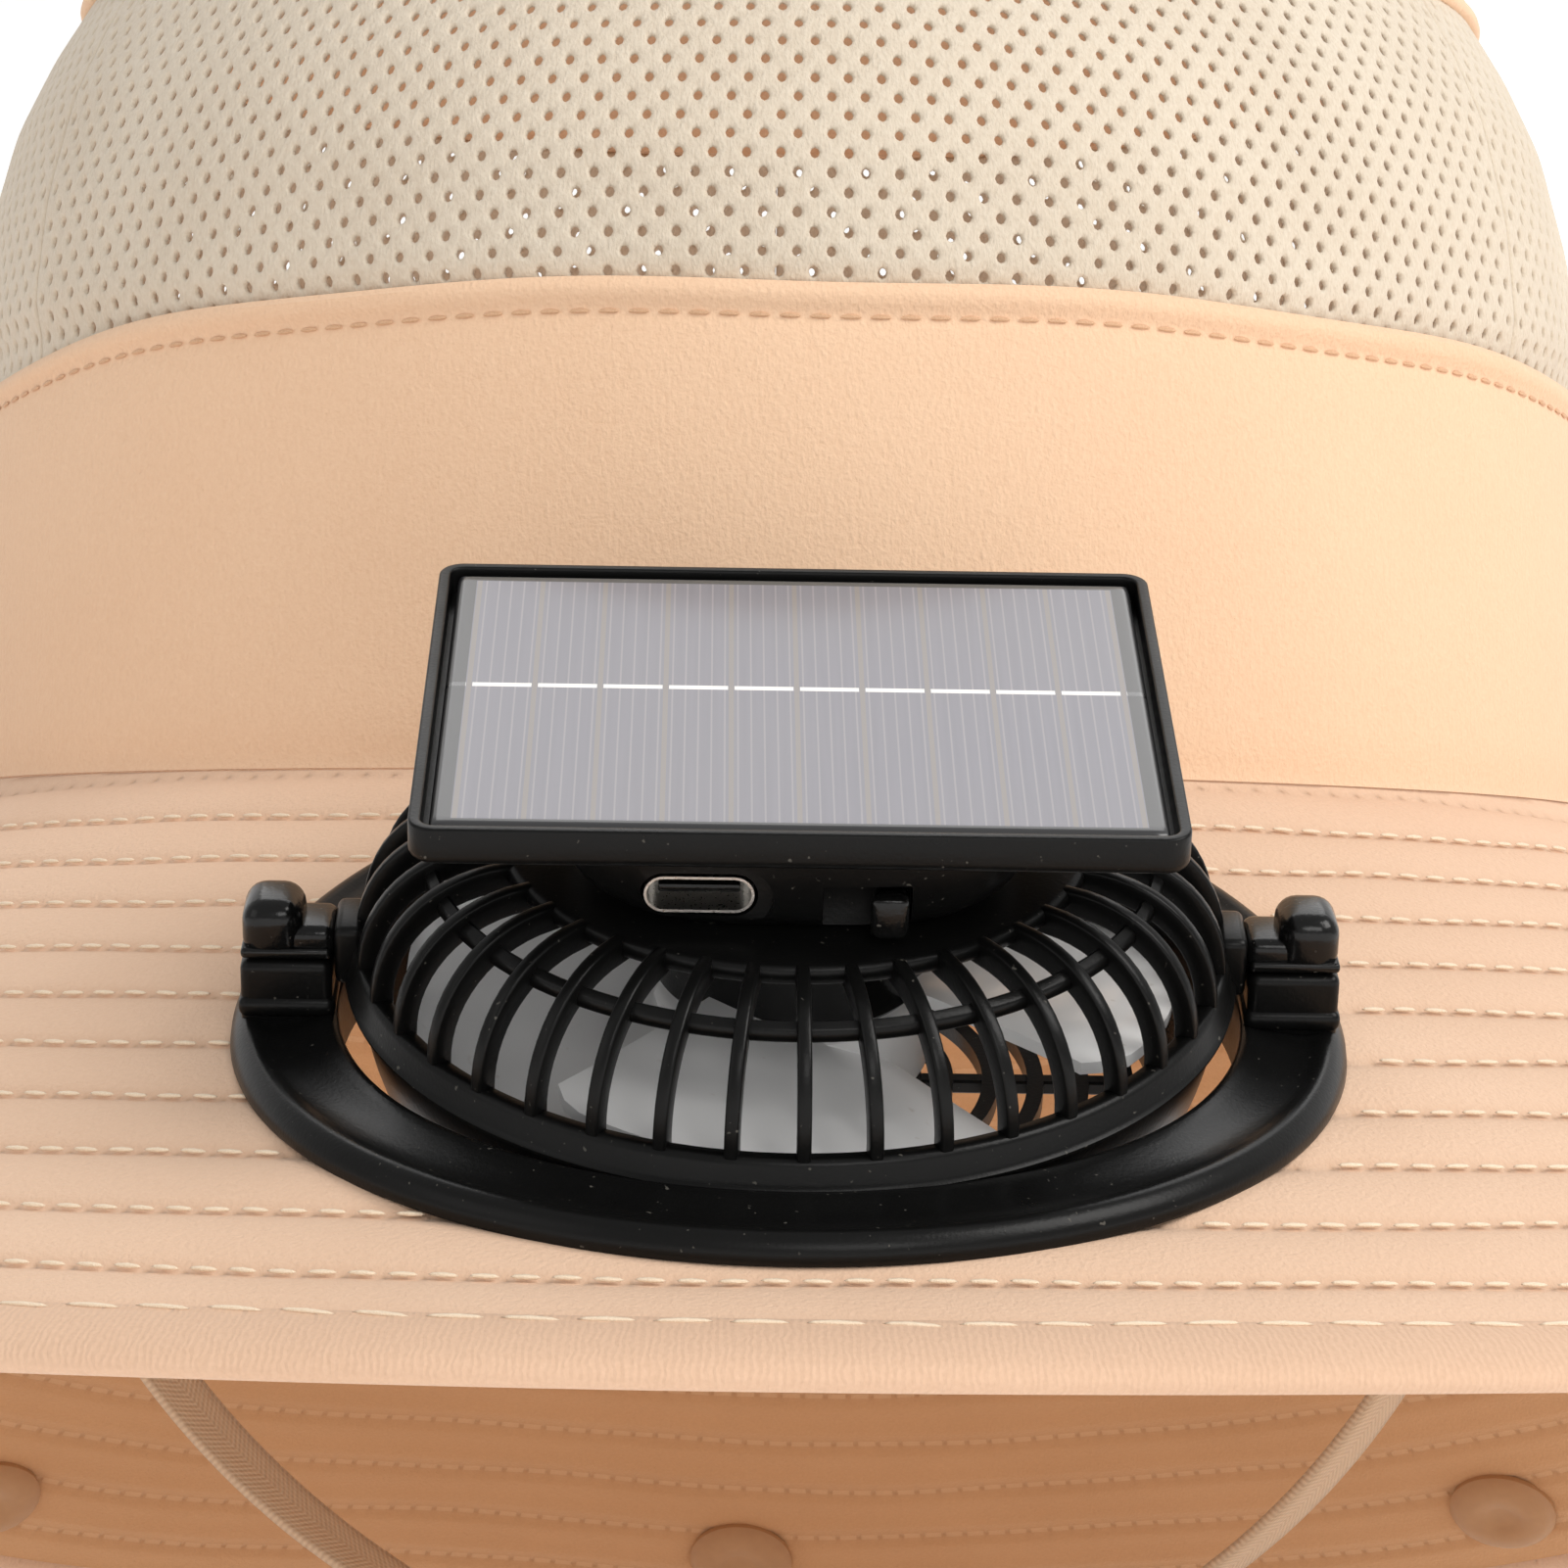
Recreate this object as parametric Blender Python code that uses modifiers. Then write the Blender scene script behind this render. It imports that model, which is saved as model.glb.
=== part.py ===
"""Wide-brimmed sun hat with a net crown and a solar powered fan set into the front of its brim.

Metres, +Z up. The origin is the centre of the head opening, in the plane of the seam between
crown and brim. The front of the hat, with the fan, looks along -Y.
"""
import math

import bmesh
import bpy
from mathutils import Matrix, Vector

GAP = 0.0003

# Crown: outer radius at the head opening, heights above the seam, cloth walls
CROWN_RADIUS = 0.0920
BAND_HEIGHT = 0.0470
BAND_WALL = 0.0022
BAND_ROLL = 0.0007
BAND_ROLL_DEPTH = 0.0036
NET_TOP = 0.0865
NET_WALL = 0.0014
TOP_RISE = 0.0127
TOP_WALL = 0.0020
TOP_SQUARENESS = 2.6
CROWN_STEPS = 40

# Brim: widths along the cloth, slopes in degrees
BRIM_FRONT_WIDTH = 0.1120
BRIM_BACK_WIDTH = 0.1500
BRIM_WALL = 0.0024
BRIM_FRONT_SLOPE = 25.6
BRIM_BACK_SLOPE_AT_CROWN = 58.0
BRIM_BACK_SLOPE_AT_EDGE = 46.0
BRIM_BACK_FALL = 1.8
BRIM_STEPS = 50
BRIM_ROWS = 4
BRIM_CURVE_STEPS = 12

# Snap buttons under the back edge
SNAP_RADIUS = 0.0075
SNAP_HEIGHT = 0.0022
SNAP_SPACING = 0.1050
SNAP_INSET = 0.0190

# Chin strap: a ribbon loop, sewn inside the band at both ends
STRAP_WIDTH = 0.0080
STRAP_WALL = 0.0012
STRAP_DROP = 0.1010
STRAP_TAB = 0.0120
STRAP_SQUARENESS = 2.1
STRAP_STEPS = 28

# Fan base on the brim
FAN_FROM_SEAM = 0.0486
FLANGE_RADIUS = 0.0477
SLEEVE_BORE = 0.0385
SLEEVE_WALL = 0.0012
CLAMP_HEIGHT = 0.0016
CLAMP_INSET = 0.0012
FLANGE_STEPS = 40

# Pivot posts on the flange
PIVOT_HEIGHT = 0.0040
PIVOT_PIN_RADIUS = 0.00125
PIVOT_CLEARANCE = 0.00035
PIN_REACH = 0.0440
LUG_RADIUS = 0.0034
LUG_WALL = 0.0013
POST_LENGTH = 0.0078
POST_WIDTH = 0.0074
POST_CORNER = 0.0022
POST_SINK = 0.0020
CAP_HEIGHT = 0.0045
CAP_EDGE = 0.0013
FAN_TILT = 3.3

# Fan cover: the rim and the cage of curved ribs
RIM_RADIUS = 0.0379
RIM_TOP_INSET = 0.0010
RIM_HEIGHT = 0.0023
RIM_ABOVE_PIVOT = 0.0009
RIM_WALL = 0.0019
CAGE_WALL = 0.0021
CAGE_HEIGHT = 0.0113
HUB_PLATE_RADIUS = 0.0252
HUB_PLATE_WALL = 0.0017
RIB_COUNT = 40
RIB_START = 1.0
RIB_WIDTH = 0.0013
MID_RING_RADIUS = 0.0308
MID_RING_WIDTH = 0.0017

# Fan bowl with the lower grille
BOWL_DEPTH = 0.0145
BOWL_FOOT_RADIUS = 0.0330
BOWL_WALL = 0.0016
BOWL_STEPS = 30
GRILLE_HUB_RADIUS = 0.0110
GRILLE_RINGS = 3
GRILLE_BAR = 0.0015
GRILLE_SPOKES = 6

# Motor and impeller
MOTOR_RADIUS = 0.0116
MOTOR_FOOT = -0.0028
SHAFT_RADIUS = 0.00075
SHAFT_CLEARANCE = 0.00035
IMPELLER_HUB_RADIUS = 0.0120
IMPELLER_HUB_HEIGHT = 0.0076
IMPELLER_RADIUS = 0.0327
BLADE_COUNT = 4
BLADE_SPREAD = 82.0
BLADE_ROOT_SPREAD = 56.0
BLADE_ROOT_SINK = 0.0008
BLADE_START = 85.0
BLADE_WALL = 0.0011
BLADE_TOP = -0.0012
BLADE_FALL = 0.0088
BLADE_CURVE = 0.9

# Battery pod under the solar tray
POD_TOP_WIDTH = 0.0416
POD_TOP_DEPTH = 0.0424
POD_FOOT_WIDTH = 0.0310
POD_FOOT_DEPTH = 0.0372
POD_SQUARENESS = 3.6
POD_STEPS = 32
POD_NOTCH_RADIUS = 0.0042
POD_NOTCH_ACROSS = 0.0219
POD_NOTCH_FORWARD = 0.0182

# Charging socket and switch in the pod's front
PORT_WIDTH = 0.0089
PORT_HEIGHT = 0.0032
PORT_DEPTH = 0.0070
PORT_WALL = 0.0004
PORT_ACROSS = -0.0079
PORT_ABOVE_RIM = 0.0149
PORT_RECESS_WIDTH = 0.0120
PORT_RECESS_HEIGHT = 0.0060
PORT_RECESS_DEPTH = 0.0013
TONGUE_WIDTH = 0.0066
TONGUE_HEIGHT = 0.0007
SWITCH_ACROSS = 0.0056
SWITCH_ABOVE_RIM = 0.0140
SWITCH_SLOT_LENGTH = 0.0072
SWITCH_SLOT_HEIGHT = 0.0046
SWITCH_SLOT_DEPTH = 0.0022
SWITCH_TRAVEL = 0.0034
KNOB_PROUD = 0.0010
KNOB_EDGE = 0.0008

# Solar tray and panel
TRAY_WIDTH = 0.0619
TRAY_DEPTH = 0.0510
TRAY_HEIGHT = 0.0033
TRAY_TOP = 0.0233
TRAY_WALL = 0.0010
TRAY_FLOOR = 0.0010
TRAY_CORNER = 0.0022
TRAY_FOOT_EDGE = 0.0009
PANEL_CLEARANCE = 0.0006
PANEL_SINK = 0.0003
PANEL_EDGE = 0.0007

# Crown side: share of the net's top height against share of the crown radius
CROWN_SIDE = [
    {"height": 0.00, "radius": 1.000},
    {"height": 0.27, "radius": 0.997},
    {"height": 0.54, "radius": 0.984},
    {"height": 0.70, "radius": 0.968},
    {"height": 0.83, "radius": 0.936},
    {"height": 0.92, "radius": 0.896},
    {"height": 1.00, "radius": 0.850},
]

# Top of the flange, from its outer edge in to the bore
FLANGE_TOP = [
    {"inset": 0.0000, "height": 0.0000},
    {"inset": 0.0003, "height": 0.0013},
    {"inset": 0.0015, "height": 0.0020},
    {"inset": 0.0025, "height": 0.0016},
    {"inset": 0.0045, "height": 0.0013},
    {"inset": 0.0086, "height": 0.0016},
    {"inset": 0.0092, "height": 0.0012},
]

# Snap button, middle of its face to its foot: shares of its radius and height
SNAP_SIDE = [
    {"radius": 0.00, "height": 1.00},
    {"radius": 0.55, "height": 1.00},
    {"radius": 0.85, "height": 0.85},
    {"radius": 1.00, "height": 0.40},
    {"radius": 1.00, "height": 0.00},
    {"radius": 0.00, "height": 0.00},
]

# Cage side, rim to hub plate: shares of the rim's top radius and of the cage height
CAGE_SIDE = [
    {"radius": 1.000, "height": 0.00},
    {"radius": 1.000, "height": 0.18},
    {"radius": 0.945, "height": 0.60},
    {"radius": 0.820, "height": 0.91},
    {"radius": 0.683, "height": 1.00},
]

# Pod side, foot to top: share of its height against how far it has opened from foot to top size
POD_SIDE = [
    {"height": 0.00, "opened": 0.00},
    {"height": 0.16, "opened": 0.52},
    {"height": 0.45, "opened": 0.84},
    {"height": 1.00, "opened": 1.00},
]


def clear_scene():
    for item in list(bpy.data.objects):
        bpy.data.objects.remove(item)


def make_collection(name):
    group = bpy.data.collections.new(name)
    bpy.context.scene.collection.children.link(group)
    return group


def material(name, colour, roughness, metallic=0.0):
    made = bpy.data.materials.new(name)
    made.use_nodes = True
    shader = made.node_tree.nodes["Principled BSDF"]
    shader.inputs["Base Color"].default_value = (*colour, 1.0)
    shader.inputs["Roughness"].default_value = roughness
    shader.inputs["Metallic"].default_value = metallic
    return made


def add_object(name, mesh, group, parent=None, finish=None):
    made = bpy.data.objects.new(name, mesh)
    group.objects.link(made)
    made.parent = parent
    if finish:
        mesh.materials.append(finish)
    return made


def mesh_from(bm, name):
    mesh = bpy.data.meshes.new(name)
    bmesh.ops.recalc_face_normals(bm, faces=bm.faces)
    bm.to_mesh(mesh)
    bm.free()
    mesh.shade_smooth()
    mesh.set_sharp_from_angle(angle=math.radians(35))
    return mesh


def add_empty(name, group, parent, place):
    made = bpy.data.objects.new(name, None)
    group.objects.link(made)
    made.parent = parent
    made.matrix_local = place
    return made


def turned(name, profile, steps):
    """A closed outline in the XZ plane, turned about Z. It runs down its outer side first."""
    mesh = bpy.data.meshes.new(name)
    corners = [(x, 0.0, z) for x, z in profile]
    last = len(corners) - 1
    edges = [(i, i + 1) for i in range(last)]
    if profile[0][0] > 0 or profile[-1][0] > 0:
        edges.append((last, 0))
    mesh.from_pydata(corners, edges, [])
    blank = bpy.data.objects.new(name + "_blank", mesh)
    bpy.context.scene.collection.objects.link(blank)
    screw = blank.modifiers.new("turn", "SCREW")
    screw.steps = steps
    screw.render_steps = steps
    screw.use_merge_vertices = True
    screw.merge_threshold = 0.00001
    return settle(blank)


def settle(item):
    """The evaluated mesh of an object with its modifiers made real; the object is removed."""
    bpy.context.view_layer.update()
    seen = item.evaluated_get(bpy.context.evaluated_depsgraph_get())
    mesh = bpy.data.meshes.new_from_object(seen)
    mesh.transform(item.matrix_world)
    bpy.data.objects.remove(item)
    bm = bmesh.new()
    bm.from_mesh(mesh)
    bmesh.ops.remove_doubles(bm, verts=bm.verts, dist=0.00001)
    bmesh.ops.recalc_face_normals(bm, faces=bm.faces)
    bm.to_mesh(mesh)
    bm.free()
    mesh.shade_smooth()
    mesh.set_sharp_from_angle(angle=math.radians(35))
    return mesh


def block(size, centre):
    """A box of a size about a centre, as a bmesh."""
    bm = bmesh.new()
    bmesh.ops.create_cube(bm, size=1.0)
    bmesh.ops.scale(bm, vec=size, verts=bm.verts)
    bmesh.ops.translate(bm, vec=centre, verts=bm.verts)
    return bm


def rod(radius, low, high, steps=24):
    """A round bar between two points, as a bmesh."""
    low = Vector(low)
    high = Vector(high)
    along = high - low
    bm = bmesh.new()
    bmesh.ops.create_cone(bm, cap_ends=True, segments=steps, radius1=radius, radius2=radius,
                          depth=along.length)
    bmesh.ops.rotate(bm, matrix=along.to_track_quat("Z", "Y").to_matrix(), verts=bm.verts)
    bmesh.ops.translate(bm, vec=(low + high) / 2, verts=bm.verts)
    return bm


def pushed(corners, way):
    """A flat outline pushed along a way into a solid, as a bmesh."""
    bm = bmesh.new()
    face = bm.faces.new([bm.verts.new(corner) for corner in corners])
    made = bmesh.ops.extrude_face_region(bm, geom=[face])
    moved = [part for part in made["geom"] if isinstance(part, bmesh.types.BMVert)]
    bmesh.ops.translate(bm, vec=way, verts=moved)
    bmesh.ops.recalc_face_normals(bm, faces=bm.faces)
    return bm


def pill(width, height, depth, centre, steps=6):
    """A bar with a long round-ended outline in XZ, running along Y, as a bmesh."""
    reach = (width - height) / 2
    corners = []
    for side, start in ((1, -90), (-1, 90)):
        for i in range(steps + 1):
            turn = math.radians(start + 180 * i / steps)
            across = side * reach + math.cos(turn) * height / 2
            corners.append((across, -depth / 2, math.sin(turn) * height / 2))
    bm = pushed(corners, (0, depth, 0))
    bmesh.ops.translate(bm, vec=centre, verts=bm.verts)
    return bm


def boolean(item, other, operation):
    """Cut or join another object into an item. The other object stays as a wire guide."""
    other.hide_render = True
    other.display_type = "WIRE"
    step = item.modifiers.new(operation.lower(), "BOOLEAN")
    step.operation = operation
    step.solver = "EXACT"
    step.object = other


def guide(name, bm, parent):
    return add_object(name, mesh_from(bm, name), CUTTERS, parent)


def joined(pieces):
    """Several bmeshes as one, for cutters that do not touch."""
    whole = bmesh.new()
    for bm in pieces:
        scratch = bpy.data.meshes.new("scratch")
        bm.to_mesh(scratch)
        bm.free()
        whole.from_mesh(scratch)
        bpy.data.meshes.remove(scratch)
    return whole


def crown_radius(height):
    """Outer radius of the crown at a height between the seam and the net's top."""
    share = height / NET_TOP
    for low, high in zip(CROWN_SIDE, CROWN_SIDE[1:]):
        if share <= high["height"]:
            part = (share - low["height"]) / (high["height"] - low["height"])
            return CROWN_RADIUS * (low["radius"] + part * (high["radius"] - low["radius"]))
    return CROWN_RADIUS * CROWN_SIDE[-1]["radius"]


def crown_band():
    heights = [BAND_HEIGHT, BAND_HEIGHT - BAND_ROLL_DEPTH / 2, BAND_HEIGHT - BAND_ROLL_DEPTH, GAP]
    rolls = [0.0, BAND_ROLL, 0.0, 0.0]
    outer = [(crown_radius(z) + roll, z) for z, roll in zip(heights, rolls)]
    inner = [(crown_radius(z) - BAND_WALL, z) for z in reversed(heights[2:])]
    inner.append((crown_radius(BAND_HEIGHT) - BAND_WALL, BAND_HEIGHT))
    add_object("crown_band", turned("crown_band", outer + inner, CROWN_STEPS), HAT, finish=CLOTH)


def crown_net():
    low = BAND_HEIGHT + GAP
    heights = [low + (NET_TOP - low) * i / 4 for i in range(5)]
    outer = [(crown_radius(z), z) for z in reversed(heights)]
    inner = [(crown_radius(z) - NET_WALL, z) for z in heights]
    add_object("crown_net", turned("crown_net", outer + inner, CROWN_STEPS), HAT, finish=NET)


def dome(radius, rise, steps):
    """Outline of the crown's top, from its middle down to its edge."""
    power = 2 / TOP_SQUARENESS
    outline = []
    for i in range(steps + 1):
        turn = math.radians(90 - 90 * i / steps)
        across = radius * abs(math.cos(turn)) ** power if i else 0.0
        outline.append((across, rise * abs(math.sin(turn)) ** power if i < steps else 0.0))
    return outline


def crown_top():
    foot = NET_TOP + GAP
    radius = crown_radius(NET_TOP)
    outer = [(x, foot + z) for x, z in dome(radius, TOP_RISE, 6)]
    inner = [(x, foot + z) for x, z in dome(radius - TOP_WALL, TOP_RISE - TOP_WALL, 4)]
    profile = outer + list(reversed(inner))
    add_object("crown_top", turned("crown_top", profile, CROWN_STEPS), HAT, finish=CLOTH)


def back_share(turn):
    """0 at the front, 1 at the back. turn is measured round from the front."""
    return ((1 - math.cos(turn)) / 2) ** BRIM_BACK_FALL


def brim_width(turn):
    return BRIM_FRONT_WIDTH + (BRIM_BACK_WIDTH - BRIM_FRONT_WIDTH) * back_share(turn)


def brim_slope(turn, share):
    change = BRIM_BACK_SLOPE_AT_EDGE - BRIM_BACK_SLOPE_AT_CROWN
    at_back = BRIM_BACK_SLOPE_AT_CROWN + change * share
    return math.radians(BRIM_FRONT_SLOPE + (at_back - BRIM_FRONT_SLOPE) * back_share(turn))


def brim_point(turn, share):
    """A point of the brim's top, share of its width out from the seam."""
    radius = CROWN_RADIUS
    height = 0.0
    for i in range(BRIM_CURVE_STEPS):
        length = brim_width(turn) * share / BRIM_CURVE_STEPS
        slope = brim_slope(turn, share * (i + 0.5) / BRIM_CURVE_STEPS)
        radius += length * math.cos(slope)
        height -= length * math.sin(slope)
    return Vector((radius * math.sin(turn), -radius * math.cos(turn), height))


def brim_normal(turn, share):
    small = 0.01
    out = brim_point(turn, share + small) - brim_point(turn, share - small)
    round_ = brim_point(turn + small, share) - brim_point(turn - small, share)
    return out.cross(round_).normalized()


def brim():
    """A ring of cloth. Its inner hem lies flat under the foot of the band."""
    bm = bmesh.new()
    bmesh.ops.create_grid(bm, x_segments=BRIM_STEPS, y_segments=BRIM_ROWS + 1, size=0.5)
    hem = 1 / (BRIM_ROWS + 1)
    for vert in bm.verts:
        turn = (vert.co.x + 0.5) * math.tau
        share = (vert.co.y + 0.5 - hem) / (1 - hem)
        if share < -0.001:
            radius = CROWN_RADIUS - BAND_WALL
            vert.co = (radius * math.sin(turn), -radius * math.cos(turn), 0.0)
        else:
            vert.co = brim_point(turn, max(share, 0.0))
    bmesh.ops.remove_doubles(bm, verts=bm.verts, dist=0.00001)
    bmesh.ops.recalc_face_normals(bm, faces=bm.faces)
    if sum(face.normal.z for face in bm.faces) < 0:
        bmesh.ops.reverse_faces(bm, faces=bm.faces)
    mesh = bpy.data.meshes.new("brim")
    bm.to_mesh(mesh)
    bm.free()
    made = add_object("brim", mesh, HAT, finish=CLOTH)
    wall = made.modifiers.new("wall", "SOLIDIFY")
    wall.thickness = BRIM_WALL
    wall.offset = -1.0
    wall.use_even_offset = True
    hole = rod(SLEEVE_BORE + SLEEVE_WALL + 2 * GAP, (0, 0, -0.02), (0, 0, 0.02), FLANGE_STEPS)
    boolean(made, guide("fan_hole", hole, FAN_SEAT), "DIFFERENCE")


def snap_buttons():
    """Three round snaps on the underside, along the back edge."""
    share = 1 - SNAP_INSET / BRIM_BACK_WIDTH
    radius = Vector(brim_point(math.pi, share)[:2]).length
    for i in (-1, 0, 1):
        turn = math.pi - math.asin(i * SNAP_SPACING / radius)
        down = -brim_normal(turn, share)
        seat = brim_point(turn, share) + down * (BRIM_WALL + GAP)
        profile = [(SNAP_RADIUS * row["radius"], SNAP_HEIGHT * row["height"]) for row in SNAP_SIDE]
        name = "snap_button_%d" % (i + 2)
        made = add_object(name, turned(name, profile, 16), HAT, finish=SNAP)
        made.matrix_world = Matrix.Translation(seat) @ down.to_track_quat("Z", "X").to_matrix().to_4x4()


def strap_point(share):
    """Middle line of the strap, from one end (0) to the other (1)."""
    reach = CROWN_RADIUS - BAND_WALL - 3 * GAP - STRAP_WALL / 2
    turn = math.pi * share
    power = 2 / STRAP_SQUARENESS
    across = math.copysign(reach * abs(math.cos(turn)) ** power, share - 0.5)
    return Vector((across, 0.0, -STRAP_DROP * abs(math.sin(turn)) ** power))


def chin_strap():
    points = [strap_point(i / STRAP_STEPS) for i in range(STRAP_STEPS + 1)]
    points.insert(0, points[0] + Vector((0, 0, STRAP_TAB)))
    points.append(points[-1] + Vector((0, 0, STRAP_TAB)))
    bm = bmesh.new()
    bmesh.ops.create_grid(bm, x_segments=len(points) - 1, y_segments=1, size=0.5)
    for vert in bm.verts:
        index = round((vert.co.x + 0.5) * (len(points) - 1))
        across = vert.co.y * STRAP_WIDTH
        vert.co = points[index] + Vector((0, across, 0))
    made = add_object("chin_strap", mesh_from(bm, "chin_strap"), HAT, finish=STRAP)
    wall = made.modifiers.new("wall", "SOLIDIFY")
    wall.thickness = STRAP_WALL
    wall.offset = 0.0


def droop(mesh):
    """Bend a part of the fan's base sideways over the cone of the brim."""
    slope = math.radians(BRIM_FRONT_SLOPE)
    radius = CROWN_RADIUS + FAN_FROM_SEAM * math.cos(slope)
    for vert in mesh.vertices:
        curve = math.sin(slope) / (2 * (radius - vert.co.y * math.cos(slope)))
        vert.co.z -= curve * vert.co.x ** 2


def post_outline(low, high, side):
    """A post or cap blank with round outer corners, between two heights."""
    inner = SLEEVE_BORE + GAP
    middle = inner + POST_LENGTH / 2
    bm = block((POST_LENGTH, POST_WIDTH, high - low), (side * middle, 0, (low + high) / 2))
    outer = [edge for edge in bm.edges
             if abs(edge.verts[0].co.z - edge.verts[1].co.z) > (high - low) / 2
             and abs(edge.verts[0].co.x) > middle]
    bmesh.ops.bevel(bm, geom=outer, offset=POST_CORNER, segments=3, profile=0.5,
                    affect="EDGES", material=-1)
    return bm


def pivot_bore(side):
    low = (side * (SLEEVE_BORE - GAP), 0, PIVOT_HEIGHT)
    high = (side * (PIN_REACH + GAP), 0, PIVOT_HEIGHT)
    return rod(PIVOT_PIN_RADIUS + PIVOT_CLEARANCE, low, high, 16)


def fan_flange():
    """The ring that lies on the brim, its sleeve through the cloth, and the two pivot posts."""
    sleeve = SLEEVE_BORE + SLEEVE_WALL
    foot = -(BRIM_WALL + CLAMP_HEIGHT + 5 * GAP)
    profile = [(FLANGE_RADIUS - row["inset"], row["height"]) for row in reversed(FLANGE_TOP)]
    profile += [(sleeve, 0.0), (sleeve, foot), (SLEEVE_BORE, foot)]
    mesh = turned("fan_flange", profile, FLANGE_STEPS)
    droop(mesh)
    made = add_object("fan_flange", mesh, HAT, FAN_SEAT, PLASTIC)
    for side, word in ((-1, "left"), (1, "right")):
        post = post_outline(-POST_SINK, PIVOT_HEIGHT - GAP / 2, side)
        boolean(made, guide("post_" + word, post, FAN_SEAT), "UNION")
        boolean(made, guide("post_bore_" + word, pivot_bore(side), FAN_SEAT), "DIFFERENCE")


def pivot_caps():
    """Caps screwed down on the posts, which trap the fan's pins."""
    for side, word in ((-1, "left"), (1, "right")):
        bm = post_outline(PIVOT_HEIGHT + GAP / 2, PIVOT_HEIGHT + CAP_HEIGHT, side)
        level = PIVOT_HEIGHT + CAP_HEIGHT - GAP
        top = [edge for edge in bm.edges if min(v.co.z for v in edge.verts) > level]
        bmesh.ops.bevel(bm, geom=top, offset=CAP_EDGE, segments=3, profile=0.5,
                        affect="EDGES", material=-1)
        made = add_object("pivot_cap_" + word, mesh_from(bm, "pivot_cap"), HAT, FAN_SEAT, PLASTIC)
        boolean(made, guide("cap_bore_" + word, pivot_bore(side), FAN_SEAT), "DIFFERENCE")


def clamp_ring():
    """The ring under the brim that holds the flange's sleeve."""
    inner = SLEEVE_BORE + SLEEVE_WALL + GAP
    outer = FLANGE_RADIUS - CLAMP_INSET
    top = -(BRIM_WALL + 2 * GAP)
    foot = top - CLAMP_HEIGHT
    profile = [(outer, top), (outer, foot), (inner, foot), (inner, top)]
    mesh = turned("clamp_ring", profile, FLANGE_STEPS)
    droop(mesh)
    add_object("clamp_ring", mesh, HAT, FAN_SEAT, PLASTIC)


def sector(inner, outer, low, high, start, end, steps=1):
    """A straight-sided piece of a ring between two turns, as a bmesh."""
    turns = [start + (end - start) * i / steps for i in range(steps + 1)]
    corners = [(inner * math.cos(t), inner * math.sin(t), low) for t in turns]
    corners += [(outer * math.cos(t), outer * math.sin(t), low) for t in reversed(turns)]
    return pushed(corners, (0, 0, high - low))


def slot(inner, outer, low, high, turn, pitch, bar):
    """A gap between two bars of an even width, pitch apart, as a bmesh."""
    corners = []
    for radius, side in ((inner, -1), (outer, -1), (outer, 1), (inner, 1)):
        half = pitch / 2 - math.asin(bar / 2 / radius)
        angle = turn + side * half
        corners.append((radius * math.cos(angle), radius * math.sin(angle), low))
    return pushed(corners, (0, 0, high - low))


def fan_cover():
    """Rim, cage of ribs, middle ring and hub plate, moulded in one piece, with lugs and pins."""
    top = RIM_RADIUS - RIM_TOP_INSET
    floor = CAGE_HEIGHT - HUB_PLATE_WALL
    outer = [(top * row["radius"], CAGE_HEIGHT * row["height"]) for row in reversed(CAGE_SIDE)]
    outer = [(0.0, CAGE_HEIGHT)] + outer + [(RIM_RADIUS, -RIM_HEIGHT)]
    inner = [(RIM_RADIUS - RIM_WALL, -RIM_HEIGHT), (top - RIM_WALL, 0.0)]
    inner += [(top * row["radius"] - CAGE_WALL, CAGE_HEIGHT * row["height"] - CAGE_WALL)
              for row in CAGE_SIDE[2:-1]]
    inner += [(HUB_PLATE_RADIUS, floor), (0.0, floor)]
    made = add_object("fan_cover", turned("fan_cover", outer + inner, RIB_COUNT), HAT, FAN_TILTED, PLASTIC)
    pitch = math.tau / RIB_COUNT
    ring_in = MID_RING_RADIUS - MID_RING_WIDTH / 2
    ring_out = MID_RING_RADIUS + MID_RING_WIDTH / 2
    under = CAGE_HEIGHT * 0.3
    over = CAGE_HEIGHT * 1.5
    gaps = []
    for i in range(RIB_COUNT):
        turn = math.radians(RIB_START) + pitch * (i + 0.5)
        gaps.append(slot(HUB_PLATE_RADIUS, ring_in, under, over, turn, pitch, RIB_WIDTH))
        gaps.append(slot(ring_out, RIM_RADIUS * 1.1, GAP, over, turn, pitch, RIB_WIDTH))
    boolean(made, guide("cage_gaps", joined(gaps), FAN_TILTED), "DIFFERENCE")
    level = -RIM_ABOVE_PIVOT
    for side, word in ((-1, "left"), (1, "right")):
        inner_face = side * (SLEEVE_BORE - LUG_WALL)
        lug = rod(LUG_RADIUS, (inner_face, 0, level), (side * SLEEVE_BORE, 0, level), 16)
        boolean(made, guide("lug_" + word, lug, FAN_TILTED), "UNION")
        pin = rod(PIVOT_PIN_RADIUS, (inner_face, 0, level), (side * PIN_REACH, 0, level), 16)
        boolean(made, guide("pin_" + word, pin, FAN_TILTED), "UNION")


def bowl_side(shrink, steps=4):
    """The bowl's side below the rim: round about the pivot, so that it turns in the sleeve."""
    reach = SLEEVE_BORE - LUG_WALL - 2 * GAP
    outline = []
    for i in range(steps + 1):
        share = i / steps
        depth = RIM_HEIGHT + GAP + (BOWL_DEPTH - RIM_HEIGHT - GAP) * share
        radius = reach - (reach - BOWL_FOOT_RADIUS) * share ** 2
        outline.append((radius - shrink, -depth))
    return outline


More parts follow.
